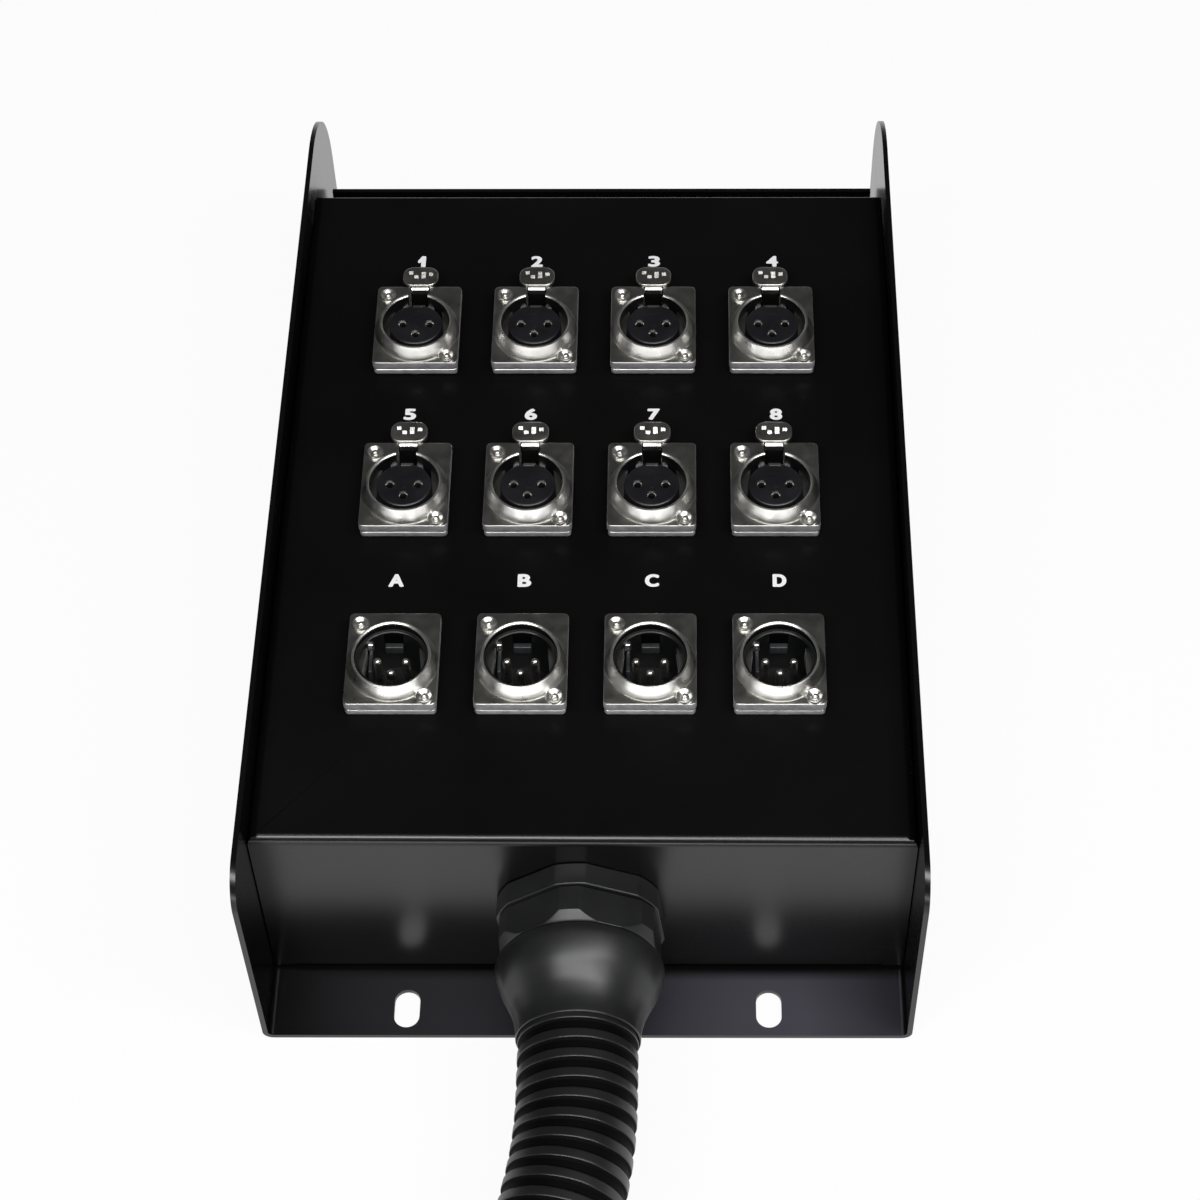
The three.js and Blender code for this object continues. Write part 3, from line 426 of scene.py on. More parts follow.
def plate_rings(width, depth, radius, z0, z1, bevel, cx=0.0, cy=0.0):
    rings = []
    for inset, z in bevel_steps(z0, z1, bevel):
        corner = max(radius - inset, LEAST_RADIUS)
        outline = rounded_outline(width - 2 * inset, depth - 2 * inset, corner)
        rings.append([(x + cx, y + cy, z) for x, y in outline])
    return rings


def slab(*sizes):
    return skin(plate_rings(*sizes))


def washer_plate(width, depth, radius, z0, z1, bevel, hole, cx, cy):
    """A rounded plate with a round hole, its hole's points in line with its outline's."""
    rings = plate_rings(width, depth, radius, z0, z1, bevel)
    for z in (z1, z0):
        ring = []
        for x, y in rounded_outline(width, depth, radius):
            a = math.atan2(y - cy, x - cx)
            ring.append((cx + hole * math.cos(a), cy + hole * math.sin(a), z))
        rings.append(ring)
    return skin(rings, closed=True)


def box_part(x0, x1, y0, y1, z0, z1, bevel):
    radius = max(bevel, LEAST_CORNER)
    return slab(x1 - x0, y1 - y0, radius, z0, z1, bevel, (x0 + x1) / 2, (y0 + y1) / 2)


def mesh_of(part):
    points, polygons = part
    mesh = bpy.data.meshes.new("cutting")
    mesh.from_pydata(points, [], polygons)
    tidy_normals(mesh)
    return mesh


def cut(part, cutter):
    """The part with the cutter taken out of it, as (points, faces)."""
    scene = bpy.context.scene.collection
    kept = bpy.data.objects.new("kept", mesh_of(part))
    tool = bpy.data.objects.new("tool", mesh_of(cutter))
    scene.objects.link(kept)
    scene.objects.link(tool)
    modifier = kept.modifiers.new("cut", "BOOLEAN")
    modifier.operation = "DIFFERENCE"
    modifier.object = tool
    modifier.solver = "EXACT"
    bpy.context.view_layer.update()
    result = kept.evaluated_get(bpy.context.evaluated_depsgraph_get()).to_mesh()
    points = [tuple(v.co) for v in result.vertices]
    faces = [list(p.vertices) for p in result.polygons]
    bpy.data.objects.remove(kept)
    bpy.data.objects.remove(tool)
    return points, faces


def even_normals(mesh, smooth):
    """Shades the flats flat and the bends smooth, each corner by the areas around it."""
    near = math.cos(math.radians(smooth))
    around = [[] for _ in mesh.vertices]
    for face in mesh.polygons:
        for index in face.vertices:
            around[index].append((face.normal.copy(), face.area))
    normals = []
    for face in mesh.polygons:
        own = face.normal.copy()
        flat = max(abs(own.x), abs(own.y), abs(own.z)) > FLAT_SHARE
        for index in face.vertices:
            total = Vector((0, 0, 0))
            for normal, area in around[index]:
                if normal.dot(own) > near:
                    total += normal * area
            normals.append(own if flat else total.normalized())
    mesh.normals_split_custom_set(normals)


def refine(name, new_name, material, shape=None, cuts=(), upper=None, level=0.0):
    """A copy of a solid whose shape is right, its curves shaded smooth and its flats flat.
    The mesh is divided at cuts and its points are moved by shape. What faces up near a level
    gets a finish of its own."""
    source = frame["nodes"][name]
    mesh = source.data.copy()
    mesh.materials.clear()
    mesh.materials.append(material)
    work = bmesh.new()
    work.from_mesh(mesh)
    bmesh.ops.remove_doubles(work, verts=work.verts, dist=WELD)
    for x in cuts:
        around = list(work.verts) + list(work.edges) + list(work.faces)
        spot, across = (x * MM, 0, 0), (1, 0, 0)
        bmesh.ops.bisect_plane(work, geom=around, dist=CUT_NEAR, plane_co=spot, plane_no=across)
    if shape:
        for vert in work.verts:
            vert.co = Vector(shape(*(v / MM for v in vert.co))) * MM
    bmesh.ops.recalc_face_normals(work, faces=work.faces)
    work.to_mesh(mesh)
    work.free()
    mesh.shade_smooth()
    mesh.set_sharp_from_angle(angle=math.radians(SOFT_ANGLE))
    even_normals(mesh, SOFT_ANGLE)
    if upper:
        mesh.materials.append(upper)
        for face in mesh.polygons:
            if face.normal.z > UP_SHARE and abs(face.center.z / MM - level) < LEVEL_REACH:
                face.material_index = 1
    obj = bpy.data.objects.new(new_name, mesh)
    bpy.context.scene.collection.objects.link(obj)
    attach(obj, source["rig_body"])
    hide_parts(name)


# ---------------------------------------- camera
# Fitted to the corners of the flanges and to the box's edges in the photograph.
camera_data = bpy.data.cameras.new("camera")
camera_data.lens = 83.055
camera_data.sensor_width = 36
camera_data.shift_x = -0.05208
camera_data.shift_y = 0.13836
camera_data.clip_start = 0.01
camera_data.clip_end = 50
camera = bpy.data.objects.new("camera", camera_data)
camera.location = (0.026994, -0.543439, 0.696292)
camera.rotation_euler = [math.radians(a) for a in (34.60876, 0.31554, 0.25053)]
bpy.context.scene.collection.objects.link(camera)
bpy.context.scene.camera = camera


# ---------------------------------------- routes
class Route:
    """Straight runs and arcs joined smoothly, in millimetres."""

    def __init__(self, start, heading):
        self.at = Vector(start)
        self.heading = Vector(heading).normalized()
        self.points = [self.at.copy()]

    def straight(self, length, steps):
        for i in range(1, steps + 1):
            self.points.append(self.at + self.heading * (length * i / steps))
        self.at = self.at + self.heading * length

    def arc(self, radius, angle, side, steps):
        side = Vector(side)
        inward = (side - self.heading * side.dot(self.heading)).normalized()
        centre = self.at + inward * radius
        heading = self.heading.copy()
        for i in range(1, steps + 1):
            a = angle * i / steps
            back, ahead = inward * (radius * math.cos(a)), heading * (radius * math.sin(a))
            self.points.append(centre - back + ahead)
        self.at = self.points[-1].copy()
        self.heading = (heading * math.cos(angle) + inward * math.sin(angle)).normalized()

    def drop(self, radius, height, steps):
        angle = math.acos(1 - height / (2 * radius))
        self.arc(radius, angle, (0, 0, -1), steps)
        self.arc(radius, angle, (0, 0, 1), steps)


def length_of(points):
    return sum((b - a).length for a, b in zip(points, points[1:]))


def respaced(points, step):
    """The same line at even steps."""
    total = length_of(points)
    count = max(2, round(total / step))
    out, walked, i = [points[0].copy()], 0.0, 0
    for k in range(1, count):
        target = total * k / count
        while walked + (points[i + 1] - points[i]).length < target:
            walked += (points[i + 1] - points[i]).length
            i += 1
        share = (target - walked) / (points[i + 1] - points[i]).length
        out.append(points[i].lerp(points[i + 1], share))
    out.append(points[-1].copy())
    return out


def sweep(points, radius_at, sides):
    """A closed tube along points, its radius given by the distance walked."""
    normal = Vector((0, 0, 1))
    rings, walked = [], 0.0
    for i, point in enumerate(points):
        ahead = points[min(i + 1, len(points) - 1)]
        behind = points[max(i - 1, 0)]
        tangent = (ahead - behind).normalized()
        normal = (normal - tangent * normal.dot(tangent)).normalized()
        side = tangent.cross(normal)
        if i:
            walked += (point - points[i - 1]).length
        radius = radius_at(walked)
        ring = []
        for k in range(sides):
            a = 2 * math.pi * k / sides
            across, up = side * (radius * math.cos(a)), normal * (radius * math.sin(a))
            ring.append(tuple(point + across + up))
        rings.append(ring)
    return skin(rings)


hose_route = Route((GLAND_X, COVER_FRONT - HOSE_START, GLAND_Z), (0, -1, 0))
hose_route.straight(2 * HOSE_RADIUS, 16)
hose_route.arc(HOSE_BEND, HOSE_TURN, (-1, 0, 0), 24)
hose_route.straight(HOSE_STRAIGHT - 2 * HOSE_RADIUS - HOSE_BEND * HOSE_TURN, 8)
hose_route.drop(HOSE_BEND, GLAND_Z - SLEEVE_RADIUS - SLEEVE_REST, 48)
hose_route.straight(RIBS * RIB_PITCH - length_of(hose_route.points), 16)

lead_route = Route(hose_route.at + hose_route.heading * (2 * SEAT), hose_route.heading)
lead_route.straight(SLEEVE_WALL + SLEEVE_TAPER + CABLE_RADIUS, 8)
lead_route.drop(LEAD_BEND, lead_route.at.z - CABLE_FLOOR, 24)
lead_route.straight(LEAD_STRAIGHT, 8)

TURN_PITCH = 2 * CABLE_RADIUS + TURN_GAP
LAYER_TURNS = COIL_TURNS / COIL_LAYERS
COIL_INNER = COIL_RADIUS - TURN_PITCH * LAYER_TURNS
COIL_STEPS = 540
CABLE_STEP = 6.0
LEAST_STEP = 0.05


def coil_radius(turn):
    layer = min(int(turn // LAYER_TURNS), COIL_LAYERS - 1)
    wound = turn - layer * LAYER_TURNS
    return COIL_INNER + wound * TURN_PITCH if layer % 2 else COIL_RADIUS - wound * TURN_PITCH


def coil_height(turn):
    height = CABLE_FLOOR
    for layer in range(1, COIL_LAYERS):
        share = (turn - layer * LAYER_TURNS + CLIMB_SHARE) / (2 * CLIMB_SHARE)
        share = min(max(share, 0.0), 1.0)
        height += share * share * (3 - 2 * share) * TURN_PITCH
    return height


coil_heading = lead_route.heading.copy()
coil_inward = Vector((-coil_heading.y, coil_heading.x, 0))
coil_start = lead_route.at + coil_heading * SEAT
coil_first = coil_start + coil_heading * (2 * CABLE_RADIUS)
coil_centre = coil_first + coil_inward * COIL_RADIUS
coil_points = []
for step in range(COIL_STEPS + 1):
    turn = COIL_TURNS * step / COIL_STEPS
    angle = 2 * math.pi * turn
    spot = coil_centre - coil_inward * (coil_radius(turn) * math.cos(angle))
    spot += coil_heading * (coil_radius(turn) * math.sin(angle))
    spot.z = coil_height(turn)
    coil_points.append(spot)
last_angle = 2 * math.pi * COIL_TURNS
coil_leaving = coil_heading * math.cos(last_angle) + coil_inward * math.sin(last_angle)
coil_end = coil_points[-1] + coil_leaving * (2 * CABLE_RADIUS)

tail_route = Route(coil_end + coil_leaving * SEAT, coil_leaving)
tail_route.straight(TAIL_STRAIGHT - 2 * CABLE_RADIUS, 8)
tail_route.drop(TAIL_BEND, tail_route.at.z - PIN_RADIUS - SLEEVE_REST, 24)
tail_route.straight(TAIL_RUN, 8)

cable_line = lead_route.points + [coil_start] + coil_points + [coil_end] + tail_route.points


def clean_line(points):
    """The line without points that lie on each other."""
    out = [points[0]]
    for point in points[1:]:
        if (point - out[-1]).length > LEAST_STEP:
            out.append(point)
    return out


cable_points = respaced(clean_line(cable_line), CABLE_STEP)


# ---------------------------------------- cords
RIB_PHASE = 0.94
CREST_SHARE = 0.22
SLOPE_SHARE = 0.08
HOSE_SIDES = 72
HOSE_STEPS = 20
CABLE_SIDES = 28


def hose_radius(walked):
    """Flat-topped bands, half a pitch wide, with a small rounding at their edges."""
    share = (walked / RIB_PITCH + RIB_PHASE) % 1.0
    rise = min(max((abs(share - 0.5) - CREST_SHARE) / SLOPE_SHARE, 0.0), 1.0)
    rise = rise * rise * (3 - 2 * rise)
    return HOSE_RADIUS - (HOSE_RADIUS - HOSE_VALLEY) * rise


def hose_parts(points):
    """The tube's faces, those in the grooves with a darker, duller finish of their own as painted
    shade.
    """
    verts, faces = sweep(points, hose_radius, HOSE_SIDES)
    middle = (HOSE_RADIUS + HOSE_VALLEY) / 2
    step = length_of(points) / (len(points) - 1)
    crests, grooves = [], []
    for face in faces:
        ring = min(face) // HOSE_SIDES
        low = len(face) == 4 and hose_radius((ring + 0.5) * step) < middle
        (grooves if low else crests).append(face)
    return [(verts, crests, HOSE, grooves, GROOVE_PAINTED_SHADE)]


hose_points = respaced(hose_route.points, RIB_PITCH / HOSE_STEPS)
hose = build("ribbed_hose", hose_parts(hose_points), HOSE, smooth=60)
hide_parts("hose")

cable_part = sweep(cable_points, lambda walked: CABLE_RADIUS, CABLE_SIDES)
cable = build("multicore_cable", [cable_part], CABLE)
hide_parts("cable_lead", "cable_coil", "cable_tail")


def along(part, route):
    """A part made along +Z, laid at a route's end and facing along it."""
    turn = Vector((0, 0, 1)).rotation_difference(route.heading)
    points = [tuple(turn @ Vector(p) + route.at) for p in part[0]]
    return (points, *part[1:])


def out_of_front(part):
    """A part made along +Z, standing out of the cover's front face at the gland."""
    points = [(x + GLAND_X, COVER_FRONT - z, y + GLAND_Z) for x, y, z in part[0]]
    return (points, *part[1:])


sleeve_bore = HOSE_RADIUS + SEAT
sleeve_end = SEAT + SLEEVE_WALL
sleeve_nose = sleeve_end + SLEEVE_TAPER
sleeve_profile = [
    (sleeve_bore, -SLEEVE_OVERLAP), (SLEEVE_RADIUS - 0.4, -SLEEVE_OVERLAP),
    (SLEEVE_RADIUS, -SLEEVE_OVERLAP + 0.4), (SLEEVE_RADIUS, -4.0),
    (SLEEVE_RADIUS - 0.5, -3.5), (SLEEVE_RADIUS - 0.5, -2.0), (SLEEVE_RADIUS, -1.5),
    (SLEEVE_RADIUS, sleeve_end - 1.0), (SLEEVE_RADIUS - 0.5, sleeve_end),
    (SLEEVE_NOSE + 0.6, sleeve_nose - 0.8), (SLEEVE_NOSE, sleeve_nose),
    (CABLE_RADIUS + SEAT, sleeve_nose), (CABLE_RADIUS + SEAT, SEAT), (sleeve_bore, SEAT),
]
sleeve = build(
    "hose_end_sleeve",
    [along(turned(sleeve_profile, closed=True), hose_route)],
    GLAND,
)
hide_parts("hose_sleeve")


TIE_SLACK = 0.6
TIE_THICKNESS = 1.2
TIE_HALF_WIDTH = 6.0
TIE_CORNER = 7


def tie_part(degrees):
    """A band round all the turns, at an angle of the coil."""
    inner_w = COIL_RADIUS - COIL_INNER + 2 * CABLE_RADIUS + TIE_SLACK
    inner_h = (COIL_LAYERS - 1) * TURN_PITCH + 2 * CABLE_RADIUS + TIE_SLACK
    rings = []
    middle = (COIL_RADIUS + COIL_INNER) / 2
    height = CABLE_FLOOR + (COIL_LAYERS - 1) * TURN_PITCH / 2
    turn = math.radians(degrees)
    for grow, side in ((0.0, -1), (TIE_THICKNESS, -1), (TIE_THICKNESS, 1), (0.0, 1)):
        outline = rounded_outline(inner_w + 2 * grow, inner_h + 2 * grow, TIE_CORNER + grow, 10)
        ring = []
        for x, y in outline:
            px, py, pz = x + middle, side * TIE_HALF_WIDTH, y + height
            ring.append((
                coil_centre.x + px * math.cos(turn) - py * math.sin(turn),
                coil_centre.y + px * math.sin(turn) + py * math.cos(turn),
                pz,
            ))
        rings.append(ring)
    return skin(rings, closed=True)


for index, degrees in enumerate(TIE_ANGLES):
    tie = build("cable_strap_%d" % (index + 1), [tie_part(degrees)], STRAP)
    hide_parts("cable_tie_%d" % (index + 1))

# The far connector: a ridged strain relief, a ringed grip and a plain barrel
pin_profile = [(CABLE_RADIUS + SEAT, -10.0), (9.6, -10.0), (9.6, 0.0)]
for ridge in range(7):
    z = 1.5 + ridge * 2.8
    radius = 9.9 + ridge * 0.42
    pin_profile += [(radius, z), (radius, z + 1.6), (radius - 0.55, z + 1.9), (radius - 0.4, z + 2.6)]
pin_profile += [(13.0, 22.0), (13.0, 26.0)]
for ridge in range(6):
    z = 26.0 + ridge * 3.4
    pin_profile += [(13.0, z), (12.5, z + 0.4), (12.5, z + 1.2), (13.0, z + 1.6)]
pin_profile += [
    (13.0, 48.0), (14.6, 49.6), (15.0, 50.4), (15.0, 89.4), (14.6, 90.0),
    (12.6, 90.0), (12.6, 76.0), (0.01, 76.0), (0.01, SEAT), (CABLE_RADIUS + SEAT, SEAT),
]
pin_body = build(
    "multipin_connector",
    [along(turned(pin_profile, closed=True), tail_route)],
    NICKEL,
)
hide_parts("multipin_body")
pin_face = [(12.3, 76.3), (12.3, 79.3), (10.8, 79.3), (10.8, 88.6), (10.4, 89.0), (0.01, 89.0)]
pin_contact = [(0.9, 88.9), (0.9, 89.3), (0.55, 89.3), (0.55, 88.95)]
pin_insert_parts = [turned(pin_face)]
for ring_count, ring_radius in ((1, 0.0), (6, 4.0), (12, 8.0)):
    for k in range(ring_count):
        a = 2 * math.pi * k / ring_count
        cx, cy = ring_radius * math.cos(a), ring_radius * math.sin(a)
        pin_insert_parts.append((*turned(pin_contact, cx, cy, 16), CONTACT))
pin_insert = build(
    "multipin_contacts",
    [along(part, tail_route) for part in pin_insert_parts],
    INSERT,
)
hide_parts("multipin_insert")


# ---------------------------------------- gland
HEX_SIDES = 360
HEX_EDGE = 0.3
HEX_STEPS = 16


def hex_rings(flats, radius, length, front, z0, bore):
    """A hexagonal nut with its corners turned down to a radius and its front turned down by
    (depth, length), its edges slightly rounded, as rings of points."""
    apothem = flats / 2
    shift = math.radians(HEX_TURN)
    depth, run = front
    heights = [(0.0, HEX_EDGE), (HEX_EDGE * 0.3, HEX_EDGE * 0.3), (HEX_EDGE, 0.0)]
    if run:
        step = (run - HEX_EDGE) / HEX_STEPS
        heights += [(length - run + step * k, 0.0) for k in range(HEX_STEPS + 1)]
    else:
        heights.append((length - HEX_EDGE, 0.0))
    heights += [(length - HEX_EDGE * 0.3, HEX_EDGE * 0.3), (length, HEX_EDGE)]
    rings = []
    for h, inset in heights:
        limit = radius
        if run and h > length - run:
            limit -= depth * (h - length + run) / run
        ring = []
        for i in range(HEX_SIDES):
            a = 2 * math.pi * i / HEX_SIDES
            from_flat = (a % (math.pi / 3)) - math.pi / 6
            r = min(apothem / math.cos(from_flat), limit) - inset
            ring.append((r * math.cos(a + shift), r * math.sin(a + shift), z0 + h))
        rings.append(ring)
    cos, sin = math.cos(shift), math.sin(shift)
    for z in (z0 + length, z0):
        round_ring = circle(bore, z, count=HEX_SIDES)
        rings.append([(x * cos - y * sin, x * sin + y * cos, z) for x, y, z in round_ring])
    return skin(rings, closed=True)


lock_nut = build(
    "gland_lock_ring",
    [out_of_front(hex_rings(45.4, 24.1, 6.6, (0, 0), LOCK_START - 0.2, bore=15.3))],
    GLAND, smooth=18,
)
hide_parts("gland_lock_nut")

body_hex = hex_rings(43.2, 23.5, NECK_START - BODY_START, (1.7, 2.8), BODY_START, bore=14.6)
body_core = turned(
    [
        (11.0, -9.8), (15.0, -9.8), (15.0, BODY_START + 1.0), (21.0, BODY_START + 1.0),
        (21.0, NECK_START - 0.4), (17.4, NECK_START - 0.4), (17.4, NECK_END), (11.0, NECK_END),
    ],
    count=96,
    closed=True,
)
gland_body = build(
    "gland_hex_body",
    [out_of_front(body_hex), out_of_front(body_core)],
    GLAND, smooth=18,
)
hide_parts("gland_body")


def spline_profile(pairs, steps=5):
    """A Catmull-Rom line through (radius, height) pairs."""
    out = []
    for i in range(len(pairs) - 1):
        around = pairs[max(i - 1, 0)], pairs[i], pairs[i + 1], pairs[min(i + 2, len(pairs) - 1)]
        for k in range(steps):
            t = k / steps
            out.append(tuple(
                0.5 * (2 * b + (c - a) * t + (2 * a - 5 * b + 4 * c - d) * t * t
                       + (3 * b - a - 3 * c + d) * t ** 3)
                for a, b, c, d in zip(*around)
            ))
    out.append(pairs[-1])
    return out


# (radius, height above DOME_START), and the rounded end
dome_bulge = [
    (21.9, 0.1), (22.9, 0.9), (23.4, 2.2), (23.4, 3.9), (22.75, 6.8), (21.7, 9.8),
    (20.15, 12.9), (18.75, 16.0), (17.75, 19.3), (17.3, 22.0),
]
dome_outside = spline_profile([(r, DOME_START + h) for r, h in dome_bulge] + [(17.15, DOME_END - 0.3)])
dome_profile = [
    (17.7, DOME_START), (21.4, DOME_START),
    *dome_outside,
    (17.05, DOME_END - 0.08), (16.95, DOME_END), (HOSE_BORE, DOME_END),
    (HOSE_BORE, HOSE_START - SEAT), (17.7, HOSE_START - SEAT),
]
dome = build(
    "gland_dome_cap",
    [out_of_front(turned(dome_profile, count=120, closed=True))],
    GLAND, smooth=40,
)
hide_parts("gland_dome")

refine("gland_inner_nut", "gland_back_nut", GLAND)

[tuple(p * MM) for p in respaced(hose_route.points, 8.0)]
[tuple(p * MM) for p in respaced(clean_line(cable_line), 24.0)]


# ---------------------------------------- box
COVER_REAR = 111.2
COVER_ROUND = 2.7
COVER_CUTS = (-88, -60, -30, 0, 30, 60, 88)
REAR_ROUND = 1.1
REAR_SHIFT = 1.0
LEAST_ROUND = 0.1
LEAN = 0.03
LEAN_TO_LEFT = 0.0054
NEAR = 0.01


def cover_edges(x, y, z):
    """Draws the cover's rear bend tighter, and leans its front face back a little."""
    if y < COVER_FRONT + COVER_ROUND + NEAR:
        return x, y + (LEAN - LEAN_TO_LEFT * x) * z / COVER_TOP, z
    start = COVER_REAR - COVER_ROUND
    if y < start - NEAR:
        return x, y, z
    if z < COVER_TOP - COVER_ROUND + NEAR:
        return x, y + REAR_SHIFT, z
    across, up = y - start, z - (COVER_TOP - COVER_ROUND)
    reach = math.hypot(across, up)
    turn = math.atan2(across, up)
    sheet = COVER_ROUND - reach
    new = max(REAR_ROUND - sheet, LEAST_ROUND)
    inner = min(sheet, REAR_ROUND - LEAST_ROUND)
    middle_y = COVER_REAR + REAR_SHIFT - REAR_ROUND
    middle_z = COVER_TOP - REAR_ROUND
    extra = sheet - inner
    return x, middle_y + new * math.sin(turn) - extra, middle_z + new * math.cos(turn) - extra


refine("base_tray", "folded_tray", STEEL, upper=LEDGE, level=TRAY_TOP)
refine(
    "top_cover", "folded_cover", STEEL, shape=cover_edges, cuts=COVER_CUTS,
    upper=PANEL, level=COVER_TOP,
)


# ---------------------------------------- connectors
BARREL_RADIUS = 11.9
COLLAR_SIDES = 96
INSERT_SIDES = 80
CONTACT_SIDES = 28
SOCKET_MOUTH = 10.2
SOCKET_BACK = (0.5, 1.07)
PLUG_MOUTH = 10.35
PLUG_BACK = (1.0, 1.08)
FLANGE_BACK = 0.55
RIVETS = ((-9.65, 12.3), (9.6, -12.9))
CONTACT_ANGLES = (0, 180, 270)
SOCKET_CIRCLE = 4.1
PLUG_CIRCLE = 3.96
STEEP_SHARE = 0.35
TAB_EDGE = 16.3
TAB_WIDTH = 2.6
HOOK_WIDTH = 1.8


def rivet_parts(x, y):
    """A hollow rivet on the flange: a dished ring with a raised middle."""
    head = [
        (2.5, 0.0), (2.55, 0.45), (2.5, 0.8), (2.36, 1.02), (2.16, 1.08), (1.96, 1.0), (1.15, 0.42),
        (0.98, 0.3), (0.9, 0.3), (0.86, 0.62), (0.74, 0.9), (0.5, 1.1), (0.25, 1.18), (0.01, 1.2),
    ]
    return turned([(r, FLANGE_TOP + h) for r, h in head], x, y, 48)


def by_facing(part, top, side):
    """Gives a part's upright faces a finish of their own."""
    points, polygons = part
    flat, upright = [], []
    for face in polygons:
        corners = face[0], face[len(face) // 3], face[2 * len(face) // 3]
        a, b, c = (Vector(points[i]) for i in corners)
        normal = (b - a).cross(c - a)
        steep = normal.length > 0 and abs(normal.z) / normal.length < STEEP_SHARE
        (upright if steep else flat).append(face)
    return points, flat, top, upright, side


def flange_plate(width, depth, radius, z0, z1, bevel):
    """A plate of the flange, which reaches a little further back than forward."""
    hole_y = -SET_FORWARD - FLANGE_BACK
    points, faces = washer_plate(width, depth, radius, z0, z1, bevel, BARREL_RADIUS, 0, hole_y)
    return [(x, y + FLANGE_BACK, z) for x, y, z in points], faces


def set_back(part, back, stretch):
    """Moves a collar back, and draws its rear half out, as it looks from the front."""
    points = []
    for x, y, z in part[0]:
        behind = y + SET_FORWARD
        points.append((x, y + back if behind < 0 else back - SET_FORWARD + behind * stretch, z))
    return (points, *part[1:])


def shell_profile(mouth):
    """A collar with a cone outside, a narrow crest and a slope down to its mouth."""
    top = COLLAR_TOP
    return [
        (11.0, -14.0), (BARREL_RADIUS, -13.4), (BARREL_RADIUS, 5.0), (12.85, 5.1), (12.85, 6.1),
        (12.75, 6.5), (12.0, 8.0), (11.3, 9.3), (11.17, 9.58), (11.06, 9.76),
        (mouth + 0.64, top), (mouth + 0.54, top - 0.03), (mouth + 0.12, top - 0.27),
        (mouth + 0.03, top - 0.37), (mouth, top - 0.5), (mouth, top - 0.7),
        (11.2, top - 1.4), (11.2, -12.8), (0.01, -12.8), (0.01, -14.0),
    ]


def liner_profile(mouth):
    """The dark inside of a collar."""
    inner, top = mouth + 0.02, COLLAR_TOP - 0.75
    return [(inner, -12.7), (11.15, -12.7), (11.15, COLLAR_TOP - 1.5), (inner, top)]


def shell_parts(mouth, back, channel=None):
    """A metal shell: a flange of two plates, a collar with its liner, and two rivets. A
    channel is cut through all but the rivets."""
    upper = flange_plate(26.0, 32.1, 1.5, 2.75, FLANGE_TOP, 0.35)
    lower = flange_plate(25.5, 31.6, 1.2, SEAT, 2.35, 0.5)
    collar, liner = (
        set_back(turned(profile(mouth), 0, -SET_FORWARD, COLLAR_SIDES, closed=True), *back)
        for profile in (shell_profile, liner_profile)
    )
    if channel:
        upper, lower, collar, liner = (cut(part, channel) for part in (upper, lower, collar, liner))
    # The lower plate, the collar and the rivets take the brighter nickel, as painted highlight.
    parts = [by_facing(upper, NICKEL, EDGE), by_facing(lower, NICKEL_PAINTED_HIGHLIGHT, EDGE)]
    parts += [(*collar, NICKEL_PAINTED_HIGHLIGHT), (*liner, DEEP)]
    return parts + [(*rivet_parts(x, y), NICKEL_PAINTED_HIGHLIGHT) for x, y in RIVETS]


def contact_places(radius, y):
    for angle in CONTACT_ANGLES:
        a = math.radians(angle)
        yield radius * math.cos(a), radius * math.sin(a) + y


def socket_insert():
    y = -SET_FORWARD
    face = COLLAR_TOP - 0.8
    disc = [
        (10.1, -12.5), (10.1, -10.1), (8.1, -10.1), (8.1, face - 0.7), (8.0, face - 0.3),
        (7.7, face - 0.05), (7.4, face), (0.01, face),
    ]
    hole = [(1.3, face - 8), (1.3, face - 0.25), (1.6, face + 0.05), (1.6, face + 1)]
    funnel = [(1.27, face - 1.7), (1.27, face - 0.22), (1.06, face - 0.5), (1.06, face - 1.7)]
    depth = [(1.27, face - 7.6), (1.27, face - 1.8), (0.01, face - 1.8), (0.01, face - 7.6)]
    core = turned(disc, 0, y, INSERT_SIDES)
    parts = []
    for cx, cy in contact_places(SOCKET_CIRCLE, y):
        core = cut(core, turned(hole, cx, cy, CONTACT_SIDES))
        parts.append((*turned(funnel, cx, cy, CONTACT_SIDES, closed=True), NICKEL))
        # The bottom of each hole is filled near black, as painted shade.
        parts.append((*turned(depth, cx, cy, CONTACT_SIDES), PAINTED_SHADE_BLACK))
    core = cut(core, box_part(-1.7, 1.7, y + 6.9, y + 9.0, face - 1.4, face + 1.0, 0.05))

    low, high = face - 0.3, face + 0.16
    section = ((3.6, low), (3.6, high), (4.1, high), (4.1, low))
    arch = []
    for degrees in range(60, 121, 5):
        cos, sin = math.cos(math.radians(degrees)), math.sin(math.radians(degrees))
        arch.append([(reach * cos, reach * sin + y + 0.4, z) for reach, z in section])
    button = [(0.7, face - 0.2), (0.7, face + 0.05), (0.45, face + 0.14), (0.01, face + 0.14)]
    return [core, *parts, skin(arch), turned(button, 0.0, y - 0.9, 20)]


def prism(side, x0, x1):
    """A shape of one outline in (y, z), drawn across from x0 to x1."""
    return skin([[(x, y, z) for y, z in side] for x in (x0, x1)])


